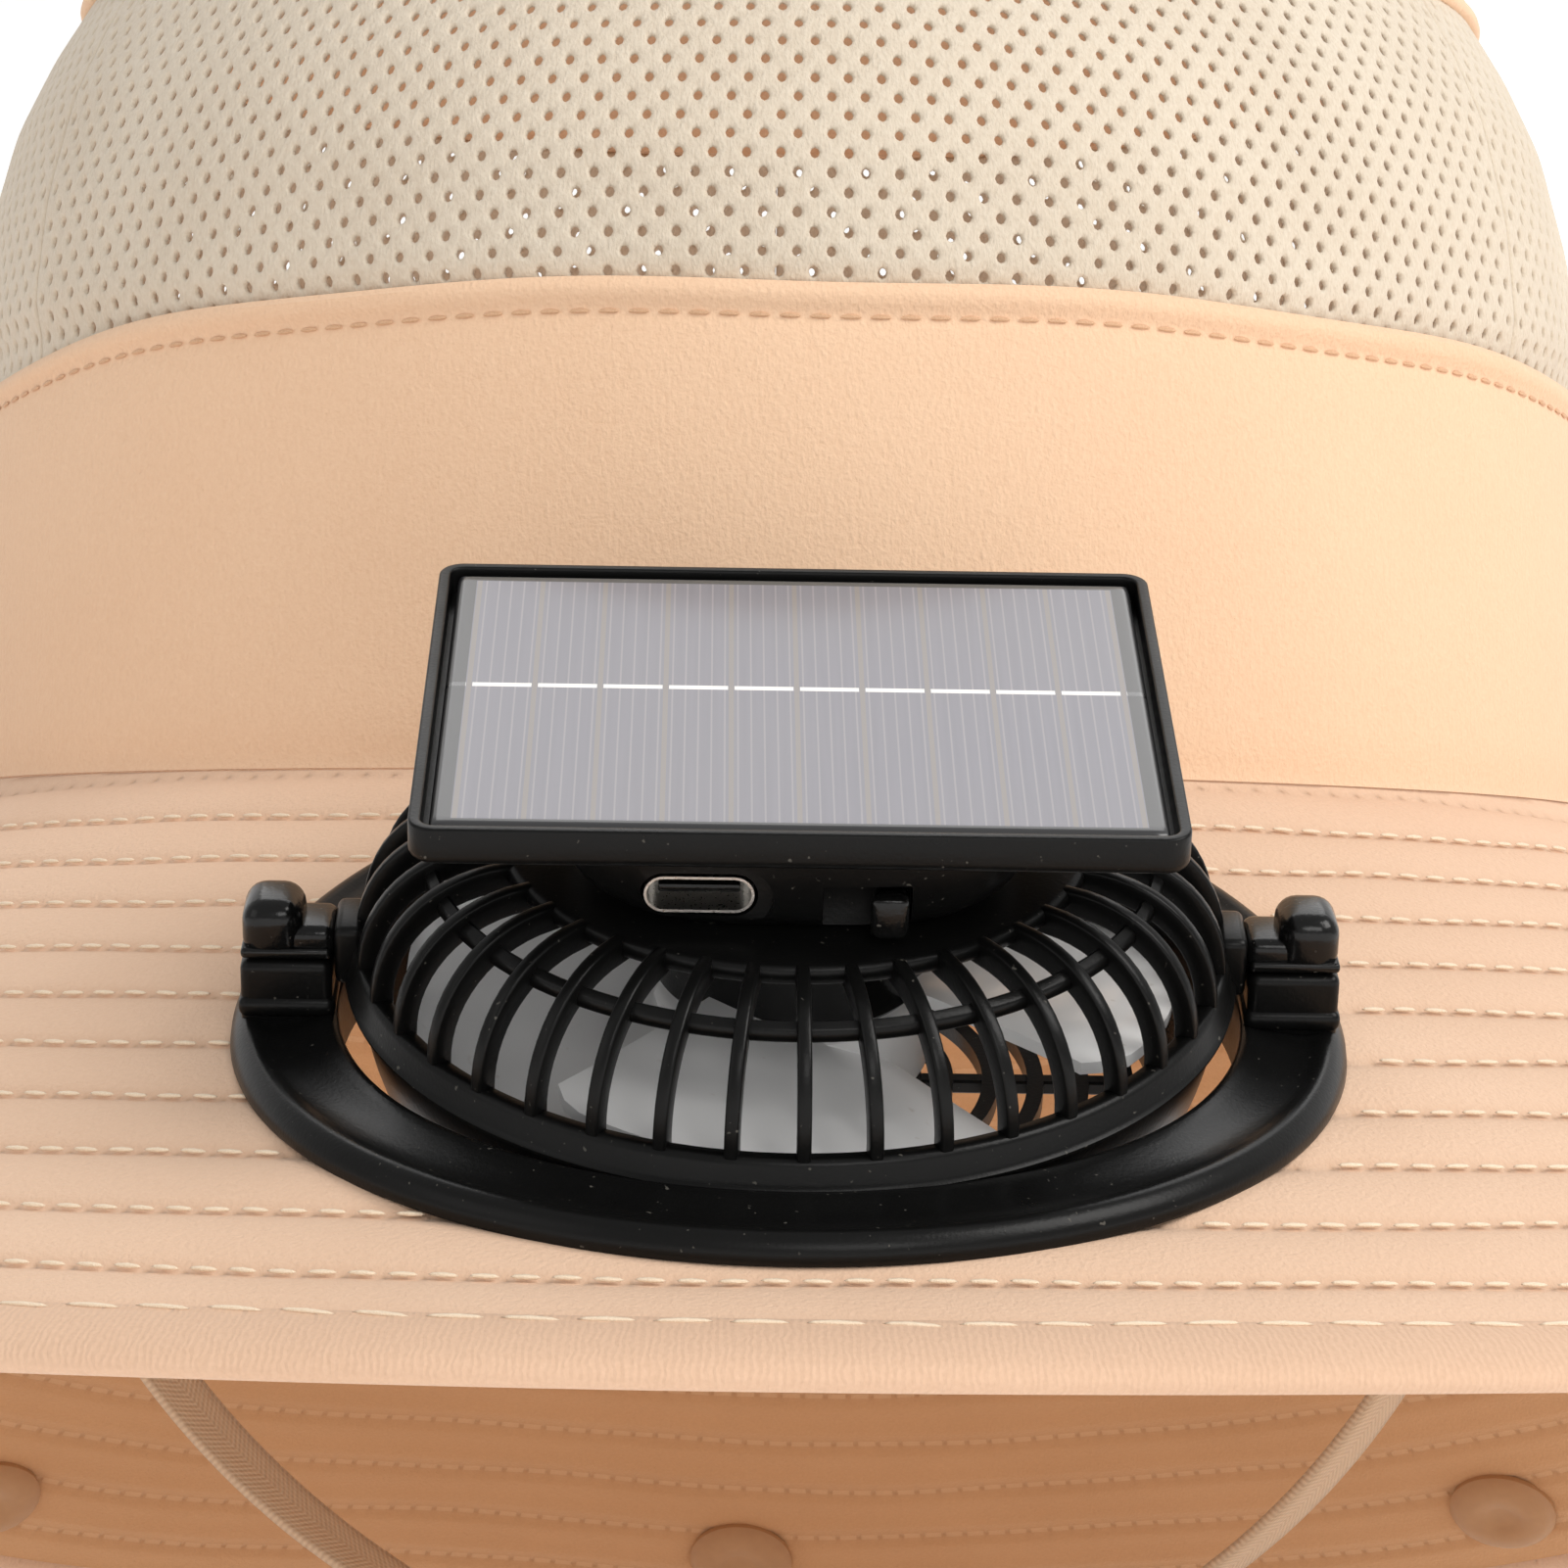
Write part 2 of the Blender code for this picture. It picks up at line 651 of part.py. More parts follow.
def fan_bowl():
    """The lower half of the housing, with rings and spokes that let the air out."""
    floor = -(BOWL_DEPTH - BOWL_WALL)
    profile = [(0.0, floor), (BOWL_FOOT_RADIUS - BOWL_WALL, floor)]
    profile += [(x, z) for x, z in reversed(bowl_side(BOWL_WALL)) if z > floor]
    profile += bowl_side(0.0) + [(0.0, -BOWL_DEPTH)]
    made = add_object("fan_bowl", turned("fan_bowl", profile, BOWL_STEPS), HAT, FAN_TILTED, PLASTIC)
    step = (BOWL_FOOT_RADIUS - BOWL_WALL - GRILLE_HUB_RADIUS) / GRILLE_RINGS
    spoke = math.tau / GRILLE_SPOKES
    under = -BOWL_DEPTH * 1.2
    over = -BOWL_DEPTH * 0.7
    gaps = []
    for ring in range(GRILLE_RINGS):
        inside = GRILLE_HUB_RADIUS + step * ring
        outside = inside + step - GRILLE_BAR
        trim = GRILLE_BAR / (inside + outside)
        for i in range(GRILLE_SPOKES):
            start = spoke * i + trim
            end = spoke * (i + 1) - trim
            gaps.append(sector(inside, outside, under, over, start, end, 2))
    boolean(made, guide("bowl_gaps", joined(gaps), FAN_TILTED), "DIFFERENCE")


def motor():
    top = CAGE_HEIGHT - HUB_PLATE_WALL - GAP
    tip = MOTOR_FOOT - IMPELLER_HUB_HEIGHT
    profile = [(0.0, top), (MOTOR_RADIUS, top), (MOTOR_RADIUS, MOTOR_FOOT), (SHAFT_RADIUS, MOTOR_FOOT)]
    profile += [(SHAFT_RADIUS, tip), (0.0, tip)]
    add_object("motor", turned("motor", profile, 24), HAT, FAN_TILTED, PLASTIC)


def impeller():
    """A hub with twisted blades. Its origin is on the motor's axis."""
    bore = SHAFT_RADIUS + SHAFT_CLEARANCE
    top = MOTOR_FOOT - GAP
    foot = top - IMPELLER_HUB_HEIGHT
    profile = [(bore, top), (IMPELLER_HUB_RADIUS, top), (IMPELLER_HUB_RADIUS, foot), (bore, foot)]
    made = add_object("impeller", turned("impeller", profile, 30), HAT, FAN_TILTED, BLADE)
    for i in range(BLADE_COUNT):
        bm = bmesh.new()
        bmesh.ops.create_grid(bm, x_segments=3, y_segments=5, size=0.5)
        for vert in bm.verts:
            out = vert.co.x + 0.5
            round_ = vert.co.y + 0.5
            root = IMPELLER_HUB_RADIUS - BLADE_ROOT_SINK
            radius = root + (IMPELLER_RADIUS - root) * out
            spread = math.radians(BLADE_ROOT_SPREAD + (BLADE_SPREAD - BLADE_ROOT_SPREAD) * out)
            turn = math.radians(BLADE_START) + math.tau * i / BLADE_COUNT + spread * (round_ - 0.5)
            height = BLADE_TOP - BLADE_WALL / 2 - BLADE_FALL * round_ ** BLADE_CURVE
            if out < 0.1:
                height = max(min(height, top - BLADE_WALL), foot + BLADE_WALL)
            vert.co = (radius * math.cos(turn), radius * math.sin(turn), height)
        blade = guide("blade_%d" % (i + 1), bm, FAN_TILTED)
        wall = blade.modifiers.new("wall", "SOLIDIFY")
        wall.thickness = BLADE_WALL
        wall.offset = 0.0
        boolean(made, blade, "UNION")


def rounded(turn, width, depth):
    """A point of the pod's outline, a square with well rounded corners."""
    power = 2 / POD_SQUARENESS
    across = math.copysign(abs(math.cos(turn)) ** power, math.cos(turn))
    along = math.copysign(abs(math.sin(turn)) ** power, math.sin(turn))
    return across * width / 2, along * depth / 2


def battery_pod():
    low = CAGE_HEIGHT + GAP
    high = TRAY_TOP - TRAY_HEIGHT - GAP
    bm = bmesh.new()
    loops = []
    for row in POD_SIDE:
        ring = bmesh.ops.create_circle(bm, segments=POD_STEPS, radius=1.0, cap_ends=False)["verts"]
        width = POD_FOOT_WIDTH + (POD_TOP_WIDTH - POD_FOOT_WIDTH) * row["opened"]
        depth = POD_FOOT_DEPTH + (POD_TOP_DEPTH - POD_FOOT_DEPTH) * row["opened"]
        for vert in ring:
            across, along = rounded(math.atan2(vert.co.y, vert.co.x), width, depth)
            vert.co = (across, along, low + (high - low) * row["height"])
        loops.append(ring)
    for below, above in zip(loops, loops[1:]):
        edges = [edge for edge in bm.edges if all(v in below or v in above for v in edge.verts)]
        bmesh.ops.bridge_loops(bm, edges=edges)
    bm.faces.new(loops[0])
    bm.faces.new(loops[-1])
    made = add_object("battery_pod", mesh_from(bm, "battery_pod"), HAT, FAN_TILTED, PLASTIC)
    front = -POD_TOP_DEPTH / 2
    recess = pill(PORT_RECESS_WIDTH, PORT_RECESS_HEIGHT, PORT_RECESS_DEPTH * 2,
                  (PORT_ACROSS, front, PORT_ABOVE_RIM))
    boolean(made, guide("port_recess", recess, FAN_TILTED), "DIFFERENCE")
    width = PORT_WIDTH + 2 * GAP
    height = PORT_HEIGHT + 2 * GAP
    depth = PORT_DEPTH * 2 + 2 * GAP
    hole = pill(width, height, depth, (PORT_ACROSS, port_face(), PORT_ABOVE_RIM))
    boolean(made, guide("port_hole", hole, FAN_TILTED), "DIFFERENCE")
    size = (SWITCH_SLOT_LENGTH, SWITCH_SLOT_DEPTH * 2, SWITCH_SLOT_HEIGHT)
    slit = block(size, (SWITCH_ACROSS, front, SWITCH_ABOVE_RIM))
    boolean(made, guide("switch_slot", slit, FAN_TILTED), "DIFFERENCE")
    foot = (POD_NOTCH_ACROSS, -POD_NOTCH_FORWARD, low - GAP)
    head = (POD_NOTCH_ACROSS, -POD_NOTCH_FORWARD, high + GAP)
    notch = rod(POD_NOTCH_RADIUS, foot, head, 20)
    boolean(made, guide("pod_notch", notch, FAN_TILTED), "DIFFERENCE")


def port_face():
    """Depth of the flat floor round the socket."""
    return -POD_TOP_DEPTH / 2 + PORT_RECESS_DEPTH


def charging_port():
    """The socket's metal shell, closed at the back, with its contact tongue."""
    back = port_face() + PORT_DEPTH
    bm = pill(PORT_WIDTH, PORT_HEIGHT, PORT_DEPTH, (PORT_ACROSS, back - PORT_DEPTH / 2, PORT_ABOVE_RIM))
    made = add_object("charging_port", mesh_from(bm, "charging_port"), HAT, FAN_TILTED, METAL)
    width = PORT_WIDTH - 2 * PORT_WALL
    height = PORT_HEIGHT - 2 * PORT_WALL
    middle = back - 2 * PORT_WALL - PORT_DEPTH / 2
    inside = pill(width, height, PORT_DEPTH, (PORT_ACROSS, middle, PORT_ABOVE_RIM))
    boolean(made, guide("port_inside", inside, FAN_TILTED), "DIFFERENCE")
    reach = PORT_DEPTH - 3 * PORT_WALL
    middle = back - PORT_WALL - reach / 2
    tongue = block((TONGUE_WIDTH, reach, TONGUE_HEIGHT), (PORT_ACROSS, middle, PORT_ABOVE_RIM))
    boolean(made, guide("port_tongue", tongue, FAN_TILTED), "UNION")


def switch_knob():
    """The slide switch's knob, resting at the right end of its slot."""
    width = SWITCH_SLOT_LENGTH - SWITCH_TRAVEL - 2 * GAP
    height = SWITCH_SLOT_HEIGHT - 2 * GAP
    front = -POD_TOP_DEPTH / 2 - KNOB_PROUD
    back = -POD_TOP_DEPTH / 2 + SWITCH_SLOT_DEPTH - GAP
    right = SWITCH_ACROSS + SWITCH_SLOT_LENGTH / 2 - GAP
    bm = block((width, back - front, height), (0, (back - front) / 2, 0))
    edges = [edge for edge in bm.edges if max(v.co.y for v in edge.verts) < GAP]
    bmesh.ops.bevel(bm, geom=edges, offset=KNOB_EDGE, segments=3, profile=0.5,
                    affect="EDGES", material=-1)
    made = add_object("switch_knob", mesh_from(bm, "switch_knob"), HAT, FAN_TILTED, PLASTIC)
    made.location = (right - width / 2, front, SWITCH_ABOVE_RIM)


def solar_tray():
    low = TRAY_TOP - TRAY_HEIGHT
    bm = block((TRAY_WIDTH, TRAY_DEPTH, TRAY_HEIGHT), (0, 0, low + TRAY_HEIGHT / 2))
    upright = [edge for edge in bm.edges
               if abs(edge.verts[0].co.z - edge.verts[1].co.z) > TRAY_HEIGHT / 2]
    bmesh.ops.bevel(bm, geom=upright, offset=TRAY_CORNER, segments=4, profile=0.5,
                    affect="EDGES", material=-1)
    foot = [edge for edge in bm.edges if max(v.co.z for v in edge.verts) < low + GAP]
    bmesh.ops.bevel(bm, geom=foot, offset=TRAY_FOOT_EDGE, segments=2, profile=0.5,
                    affect="EDGES", material=-1)
    made = add_object("solar_tray", mesh_from(bm, "solar_tray"), HAT, FAN_TILTED, PLASTIC)
    size = (TRAY_WIDTH - 2 * TRAY_WALL, TRAY_DEPTH - 2 * TRAY_WALL, TRAY_HEIGHT)
    pocket = block(size, (0, 0, low + TRAY_FLOOR + TRAY_HEIGHT / 2))
    boolean(made, guide("tray_pocket", pocket, FAN_TILTED), "DIFFERENCE")


def solar_panel():
    """The cells on their board under clear resin with a softly rounded edge."""
    low = TRAY_TOP - TRAY_HEIGHT + TRAY_FLOOR + GAP
    high = TRAY_TOP - PANEL_SINK
    inset = TRAY_WALL + PANEL_CLEARANCE
    size = (TRAY_WIDTH - 2 * inset, TRAY_DEPTH - 2 * inset, high - low)
    bm = block(size, (0, 0, (low + high) / 2))
    top = [edge for edge in bm.edges if min(v.co.z for v in edge.verts) > high - GAP]
    bmesh.ops.bevel(bm, geom=top, offset=PANEL_EDGE, segments=3, profile=0.5,
                    affect="EDGES", material=-1)
    add_object("solar_panel", mesh_from(bm, "solar_panel"), HAT, FAN_TILTED, CELLS)


def fan_frames():
    """The fan's seat on the brim, and the rim's plane, tilted about the pivot pins."""
    slope = math.radians(BRIM_FRONT_SLOPE)
    down_brim = Vector((0, -math.cos(slope), -math.sin(slope)))
    centre = Vector((0, -CROWN_RADIUS, 0)) + down_brim * FAN_FROM_SEAM
    lie = Matrix.Rotation(slope, 4, "X")
    lifted = Matrix.Translation(centre) @ lie @ Matrix.Translation((0, 0, GAP))
    seat = add_empty("fan_seat", HAT, None, lifted)
    turn = Matrix.Rotation(math.radians(FAN_TILT), 4, "X")
    pivot = add_empty("fan_pivot", HAT, seat, Matrix.Translation((0, 0, PIVOT_HEIGHT)) @ turn)
    tilted = add_empty("fan_rim_plane", HAT, pivot, Matrix.Translation((0, 0, RIM_ABOVE_PIVOT)))
    return seat, tilted


clear_scene()
HAT = make_collection("solar_fan_hat")
CUTTERS = make_collection("cutters")
CLOTH = material("peach_cloth", (0.80, 0.60, 0.45), 0.85)
NET = material("cream_net", (0.78, 0.68, 0.56), 0.9)
SNAP = material("tan_snap", (0.45, 0.27, 0.14), 0.5)
STRAP = material("beige_strap", (0.62, 0.50, 0.38), 0.8)
PLASTIC = material("black_plastic", (0.012, 0.012, 0.013), 0.35)
BLADE = material("pearl_blade", (0.62, 0.62, 0.62), 0.4)
METAL = material("socket_metal", (0.6, 0.6, 0.6), 0.25, 1.0)
CELLS = material("solar_cells", (0.30, 0.28, 0.33), 0.3)
FAN_SEAT, FAN_TILTED = fan_frames()
bpy.context.view_layer.update()

crown_band()
crown_net()
crown_top()
brim()
snap_buttons()
chin_strap()
fan_flange()
pivot_caps()
clamp_ring()
fan_cover()
fan_bowl()
motor()
impeller()
battery_pod()
charging_port()
switch_knob()
solar_tray()
solar_panel()
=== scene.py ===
import math
import random

import bmesh
import bpy
from mathutils import Matrix, Vector


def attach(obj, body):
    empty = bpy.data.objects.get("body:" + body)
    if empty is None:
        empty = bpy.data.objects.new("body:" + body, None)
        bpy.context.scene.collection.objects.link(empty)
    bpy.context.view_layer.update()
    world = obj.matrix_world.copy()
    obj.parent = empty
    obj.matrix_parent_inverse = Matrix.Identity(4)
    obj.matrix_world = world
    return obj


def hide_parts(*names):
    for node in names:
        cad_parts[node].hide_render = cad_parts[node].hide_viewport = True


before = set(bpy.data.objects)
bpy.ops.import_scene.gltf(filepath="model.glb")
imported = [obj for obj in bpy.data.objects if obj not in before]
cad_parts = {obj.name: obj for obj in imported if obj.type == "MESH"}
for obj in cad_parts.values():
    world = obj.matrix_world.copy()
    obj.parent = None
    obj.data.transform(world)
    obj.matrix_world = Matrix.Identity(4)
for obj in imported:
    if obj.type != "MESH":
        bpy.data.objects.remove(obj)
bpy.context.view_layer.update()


# The photograph's view: level with the fan and close to it, through a long lens, so that the hat
# runs out of the picture at the sides and the top.
lens = bpy.data.cameras.new("photo_view")
lens.sensor_width = 36.0
lens.lens = 112.43
lens.clip_start = 0.05
lens.clip_end = 30.0
camera = bpy.data.objects.new("photo_view", lens)
bpy.context.scene.collection.objects.link(camera)
camera_right = Vector((0.99974, -0.01793, 0.01407))
camera_up = Vector((-0.01466, -0.03315, 0.99934))
camera_back = Vector((-0.01745, -0.99929, -0.03341))
camera_turn = Matrix((camera_right, camera_up, camera_back)).transposed().to_4x4()
camera_turn @= Matrix.Rotation(0.0034, 4, "X")
camera.matrix_world = Matrix.Translation((-0.008056, -0.555507, -0.018387)) @ camera_turn
bpy.context.scene.camera = camera
bpy.context.scene.view_settings.view_transform = "Standard"


# The studio: one pale sheet of paper that lies under the hat and sweeps up behind it, a large soft
# lamp high on the right, a weaker one on the left, and even light from the white room.
class Wire:
    """A shader socket. Arithmetic on it adds Math nodes."""

    def __init__(self, finish, socket):
        self.finish = finish
        self.socket = socket

    def math(self, operation, *values):
        return self.finish.node("Math", {"operation": operation}, dict(enumerate(values)))

    def __add__(self, other):
        return self.math("ADD", self, other)

    def __radd__(self, other):
        return self.math("ADD", other, self)

    def __sub__(self, other):
        return self.math("SUBTRACT", self, other)

    def __rsub__(self, other):
        return self.math("SUBTRACT", other, self)

    def __mul__(self, other):
        return self.math("MULTIPLY", self, other)

    def __rmul__(self, other):
        return self.math("MULTIPLY", other, self)

    def __truediv__(self, other):
        return self.math("DIVIDE", self, other)

    def __rtruediv__(self, other):
        return self.math("DIVIDE", other, self)

    def __abs__(self):
        return self.math("ABSOLUTE", self)

    def __mod__(self, other):
        return self.math("FLOORED_MODULO", self, other)

    def __lt__(self, other):
        return self.math("LESS_THAN", self, other)

    def __gt__(self, other):
        return self.math("GREATER_THAN", self, other)


class Finish:
    """A material: what is the same all over it, and the nodes of what varies."""

    def __init__(self, name, constants):
        self.material = bpy.data.materials.new(name)
        self.material.use_nodes = True
        self.tree = self.material.node_tree
        self.shader = self.tree.nodes["Principled BSDF"]
        for socket, value in constants.items():
            self.shader.inputs[socket].default_value = value

    def node(self, kind, settings=None, sockets=None, out=0):
        made = self.tree.nodes.new("ShaderNode" + kind)
        for key, value in (settings or {}).items():
            if key == "stops":
                made.color_ramp.elements[0].position, made.color_ramp.elements[1].position = value
            else:
                setattr(made, key, value)
        for key, value in (sockets or {}).items():
            self.feed(made.inputs[key], value)
        return Wire(self, made.outputs[out])

    def feed(self, socket, value):
        if isinstance(value, Wire):
            self.tree.links.new(value.socket, socket)
        else:
            socket.default_value = value

    def set(self, socket, value):
        self.feed(self.shader.inputs[socket], value)


def where(finish):
    return finish.node("TexCoord", out=3)


def noise(finish, size, detail=2.0, place=None):
    """Cloudy values about 0.5, with lumps of about a size in metres."""
    place = place or where(finish)
    return finish.node("TexNoise", {}, {"Vector": place, "Scale": 1 / size, "Detail": detail})


def two_colours(finish, share, low, high):
    return finish.node("Mix", {"data_type": "RGBA"}, {0: share, 6: low, 7: high}, out=2)


def bump(finish, height, distance, strength=1.0):
    """Height runs from 0 to 1 over a distance in metres."""
    raised = finish.node("Bump", {}, {"Strength": strength, "Distance": distance, "Height": height})
    finish.set("Normal", raised)


def stretched(finish, along):
    """Object coordinates, drawn out by a factor along each axis."""
    return finish.node("Mapping", {}, {"Vector": where(finish), "Scale": along})


PAPER_LEVEL = -0.1215
PAPER_DEPTH = 9.0
PAPER_RISE_FROM = 2.4
paper = Finish("studio_paper", {"Roughness": 0.9, "Emission Strength": 0.34})
paper.set("Emission Color", (1.0, 1.0, 1.0, 1.0))
paper_shade = two_colours(paper, noise(paper, 0.4), (0.90, 0.89, 0.88, 1), (0.93, 0.925, 0.92, 1))
paper.set("Base Color", paper_shade)
bm = bmesh.new()
bmesh.ops.create_grid(bm, x_segments=2, y_segments=60, size=0.5)
for vert in bm.verts:
    run = (vert.co.y + 0.5) * PAPER_DEPTH - 4.5
    rise = max(run - PAPER_RISE_FROM, 0.0)
    vert.co = (vert.co.x * 12.0, min(run, PAPER_RISE_FROM) + rise * 0.25, PAPER_LEVEL + rise * rise * 0.9)
mesh = bpy.data.meshes.new("studio_paper")
bm.to_mesh(mesh)
bm.free()
mesh.shade_smooth()
mesh.materials.append(paper.material)
backdrop = bpy.data.objects.new("studio_paper", mesh)
bpy.context.scene.collection.objects.link(backdrop)

room = bpy.data.worlds.new("white_room")
bpy.context.scene.world = room
room.use_nodes = True
room.node_tree.nodes["Background"].inputs["Color"].default_value = (1.0, 0.99, 0.98, 1.0)
room.node_tree.nodes["Background"].inputs["Strength"].default_value = 0.48


def soft_lamp(name, place, target, width, height, power, colour):
    data = bpy.data.lights.new(name, "AREA")
    data.shape = "RECTANGLE"
    data.size = width
    data.size_y = height
    data.energy = power
    data.color = colour
    lamp = bpy.data.objects.new(name, data)
    lamp.location = place
    lamp.rotation_euler = (Vector(target) - Vector(place)).to_track_quat("-Z", "Y").to_euler()
    bpy.context.scene.collection.objects.link(lamp)


soft_lamp("key_lamp", (1.05, -0.75, 1.05), (0, -0.08, 0), 0.9, 0.9, 15.5, (1.0, 0.98, 0.95))
soft_lamp("fill_lamp", (-1.25, -0.95, 0.55), (0, -0.08, 0), 0.9, 0.9, 1.6, (1.0, 0.98, 0.96))
soft_lamp("front_lamp", (0.25, -1.25, 0.42), (0, -0.13, 0), 0.5, 0.35, 2.2, (1.0, 0.99, 0.97))
soft_lamp("top_lamp", (0.1, 0.75, 1.35), (0, -0.1, 0), 1.2, 0.8, 5.0, (1.0, 1.0, 1.0))


# Band of the crown: a strip of brushed peach cloth folded over at its top into a soft roll, with a
# row of topstitching under the roll. It stands on the seam with the brim, and puckers a little.
MM = 0.001
CROWN_RADIUS = 92.0 * MM
BAND_HEIGHT = 47.0 * MM
NET_TOP = 86.5 * MM
CROWN_SIDE = [
    {"height": 0.00, "radius": 1.000},
    {"height": 0.27, "radius": 0.997},
    {"height": 0.54, "radius": 0.984},
    {"height": 0.70, "radius": 0.968},
    {"height": 0.83, "radius": 0.936},
    {"height": 0.92, "radius": 0.896},
    {"height": 1.00, "radius": 0.850},
]


def crown_radius(height):
    share = min(max(height / NET_TOP, 0.0), 1.0)
    for low, high in zip(CROWN_SIDE, CROWN_SIDE[1:]):
        if share <= high["height"]:
            part = (share - low["height"]) / (high["height"] - low["height"])
            return CROWN_RADIUS * (low["radius"] + part * (high["radius"] - low["radius"]))


def turned(outline, steps):
    """An outline of (radius, height) points turned about Z, closed where it leaves the axis."""
    bm = bmesh.new()
    corners = [bm.verts.new((x, 0.0, z)) for x, z in outline]
    edges = [bm.edges.new(pair) for pair in zip(corners, corners[1:])]
    if outline[0][0] > 0 or outline[-1][0] > 0:
        edges.append(bm.edges.new((corners[-1], corners[0])))
    bmesh.ops.spin(bm, geom=corners + edges, cent=(0, 0, 0), axis=(0, 0, 1), angle=math.tau,
                   steps=steps, use_merge=True)
    bmesh.ops.remove_doubles(bm, verts=bm.verts, dist=0.000002)
    bmesh.ops.recalc_face_normals(bm, faces=bm.faces)
    return bm


def piece(name, bm, finish, body, place=None, sharp=38.0, nodes=()):
    """A finished mesh, put in its place, riding on a body and standing for CAD nodes."""
    if place:
        bmesh.ops.transform(bm, matrix=place, verts=bm.verts)
    mesh = bpy.data.meshes.new(name)
    bm.to_mesh(mesh)
    bm.free()
    mesh.shade_smooth()
    mesh.set_sharp_from_angle(angle=math.radians(sharp))
    mesh.materials.append(finish.material)
    made = bpy.data.objects.new(name, mesh)
    bpy.context.scene.collection.objects.link(made)
    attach(made, body)
    if nodes:
        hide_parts(*nodes)
    return made


def brushed_cloth(name, pale, deep, grain=0.42 * MM):
    """Peach-skin cloth: a fine slanting twill under a short nap, a little uneven in colour."""
    cloth = Finish(name, {"Sheen Weight": 0.22, "Sheen Roughness": 0.5, "Specular IOR Level": 0.25})
    cloth.set("Sheen Tint", (1.0, 0.9, 0.8, 1.0))
    nap = noise(cloth, grain, 3.0)
    twill = noise(cloth, grain * 1.1, 2.0, stretched(cloth, (1.0, 1.0, 0.42)))
    patches = noise(cloth, 26 * MM, 2.0)
    share = (nap * 0.62 + twill * 0.5 + patches * 0.4) - 0.26
    cloth.set("Base Color", two_colours(cloth, share, deep, pale))
    cloth.set("Roughness", 0.93 - nap * 0.12)
    return cloth, nap * 0.6 + twill * 0.55


def ripple(turn, height):
    """Soft uneven waves of the cloth round the crown."""
    waves = math.sin(turn * 5 + 0.6) * 0.30 + math.sin(turn * 9 + 2.1 + height * 30) * 0.22
    return (waves + math.sin(turn * 17 + 4.0 - height * 55) * 0.10) * MM


def band_drop(turn):
    """How far the band's uneven upper edge hangs below its height."""
    to_sides = 3.6 * math.sin(turn) ** 4 * (1.35 - 0.6 * math.sin(turn))
    return (0.6 + to_sides + 0.25 * math.sin(turn * 11 + 1.0)) * MM


PEACH_PALE = (0.905, 0.640, 0.440, 1)
PEACH_DEEP = (0.800, 0.520, 0.335, 1)
band_cloth, band_grain = brushed_cloth("band_cloth", PEACH_PALE, PEACH_DEEP)
bump(band_cloth, band_grain, 0.20 * MM, 1.0)
outer = [(0.0, 0.0), (0.9, -0.1), (2.0, 0.15), (6.0, 0.3), (14.0, 0.2), (22.0, 0.05), (30.0, 0.0),
         (38.0, 0.0),
         (42.4, 0.0), (43.6, -0.12), (44.2, -0.2), (44.8, -0.02), (45.4, 0.4), (46.2, 0.72), (47.0, 0.68),
         (47.6, 0.2), (47.7, -0.6)]
inner = [(46.5, -1.8), (44.0, -2.0), (30.0, -2.0), (14.0, -2.0), (4.0, -2.0), (0.0, -2.0)]
outline = [(crown_radius(z * MM) + out * MM, z * MM) for z, out in reversed(outer)]
outline += [(crown_radius(z * MM) + out * MM, z * MM) for z, out in reversed(inner)]
bm = turned(outline, 220)
for vert in bm.verts:
    turn = math.atan2(vert.co.x, -vert.co.y)
    height = min(max(vert.co.z, 0.0), BAND_HEIGHT)
    fade = math.sin(math.pi * height / BAND_HEIGHT) ** 0.6 if height > 0 else 0.0
    out = ripple(turn, vert.co.z) * fade
    vert.co.x += math.sin(turn) * out
    vert.co.y -= math.cos(turn) * out
    vert.co.z -= band_drop(turn) * max(height / BAND_HEIGHT, 0.0) ** 2
band = piece("crown_band_cloth", bm, band_cloth, "hat", nodes=("crown_band",))


# Topstitching of the band: matching thread, lying a little sunk just under the roll.
def thread_finish(name, pale, deep):
    """Twisted sewing thread."""
    thread = Finish(name, {"Sheen Weight": 0.15, "Specular IOR Level": 0.3})
    twist = noise(thread, 0.16 * MM, 1.0, stretched(thread, (1.0, 1.0, 1.0)))
    thread.set("Base Color", two_colours(thread, twist, deep, pale))
    thread.set("Roughness", 0.75 - twist * 0.2)
    bump(thread, twist, 0.06 * MM)
    return thread


def ring_of_stitches(count, length, width, height):
    """Count thread lenses round a circle of radius 1 about Z, the first at the front."""
    bm = bmesh.new()
    bmesh.ops.create_uvsphere(bm, u_segments=6, v_segments=4, radius=1.0)
    bmesh.ops.rotate(bm, matrix=Matrix.Rotation(math.radians(90), 3, "Y"), verts=bm.verts)
    share = length * math.tau / count / 2
    bmesh.ops.scale(bm, vec=(share, width / 2, height / 2), verts=bm.verts)
    bmesh.ops.translate(bm, vec=(0.0, -1.0, 0.0), verts=bm.verts)
    geometry = bm.verts[:] + bm.edges[:] + bm.faces[:]
    bmesh.ops.spin(bm, geom=geometry, cent=(0, 0, 0), axis=(0, 0, 1), steps=count - 1,
                   angle=math.tau * (count - 1) / count, use_duplicate=True)
    return bm


def add_to(whole, bm):
    """Move one bmesh into another."""
    scratch = bpy.data.meshes.new("scratch")
    bm.to_mesh(scratch)
    bm.free()
    whole.from_mesh(scratch)
    bpy.data.meshes.remove(scratch)


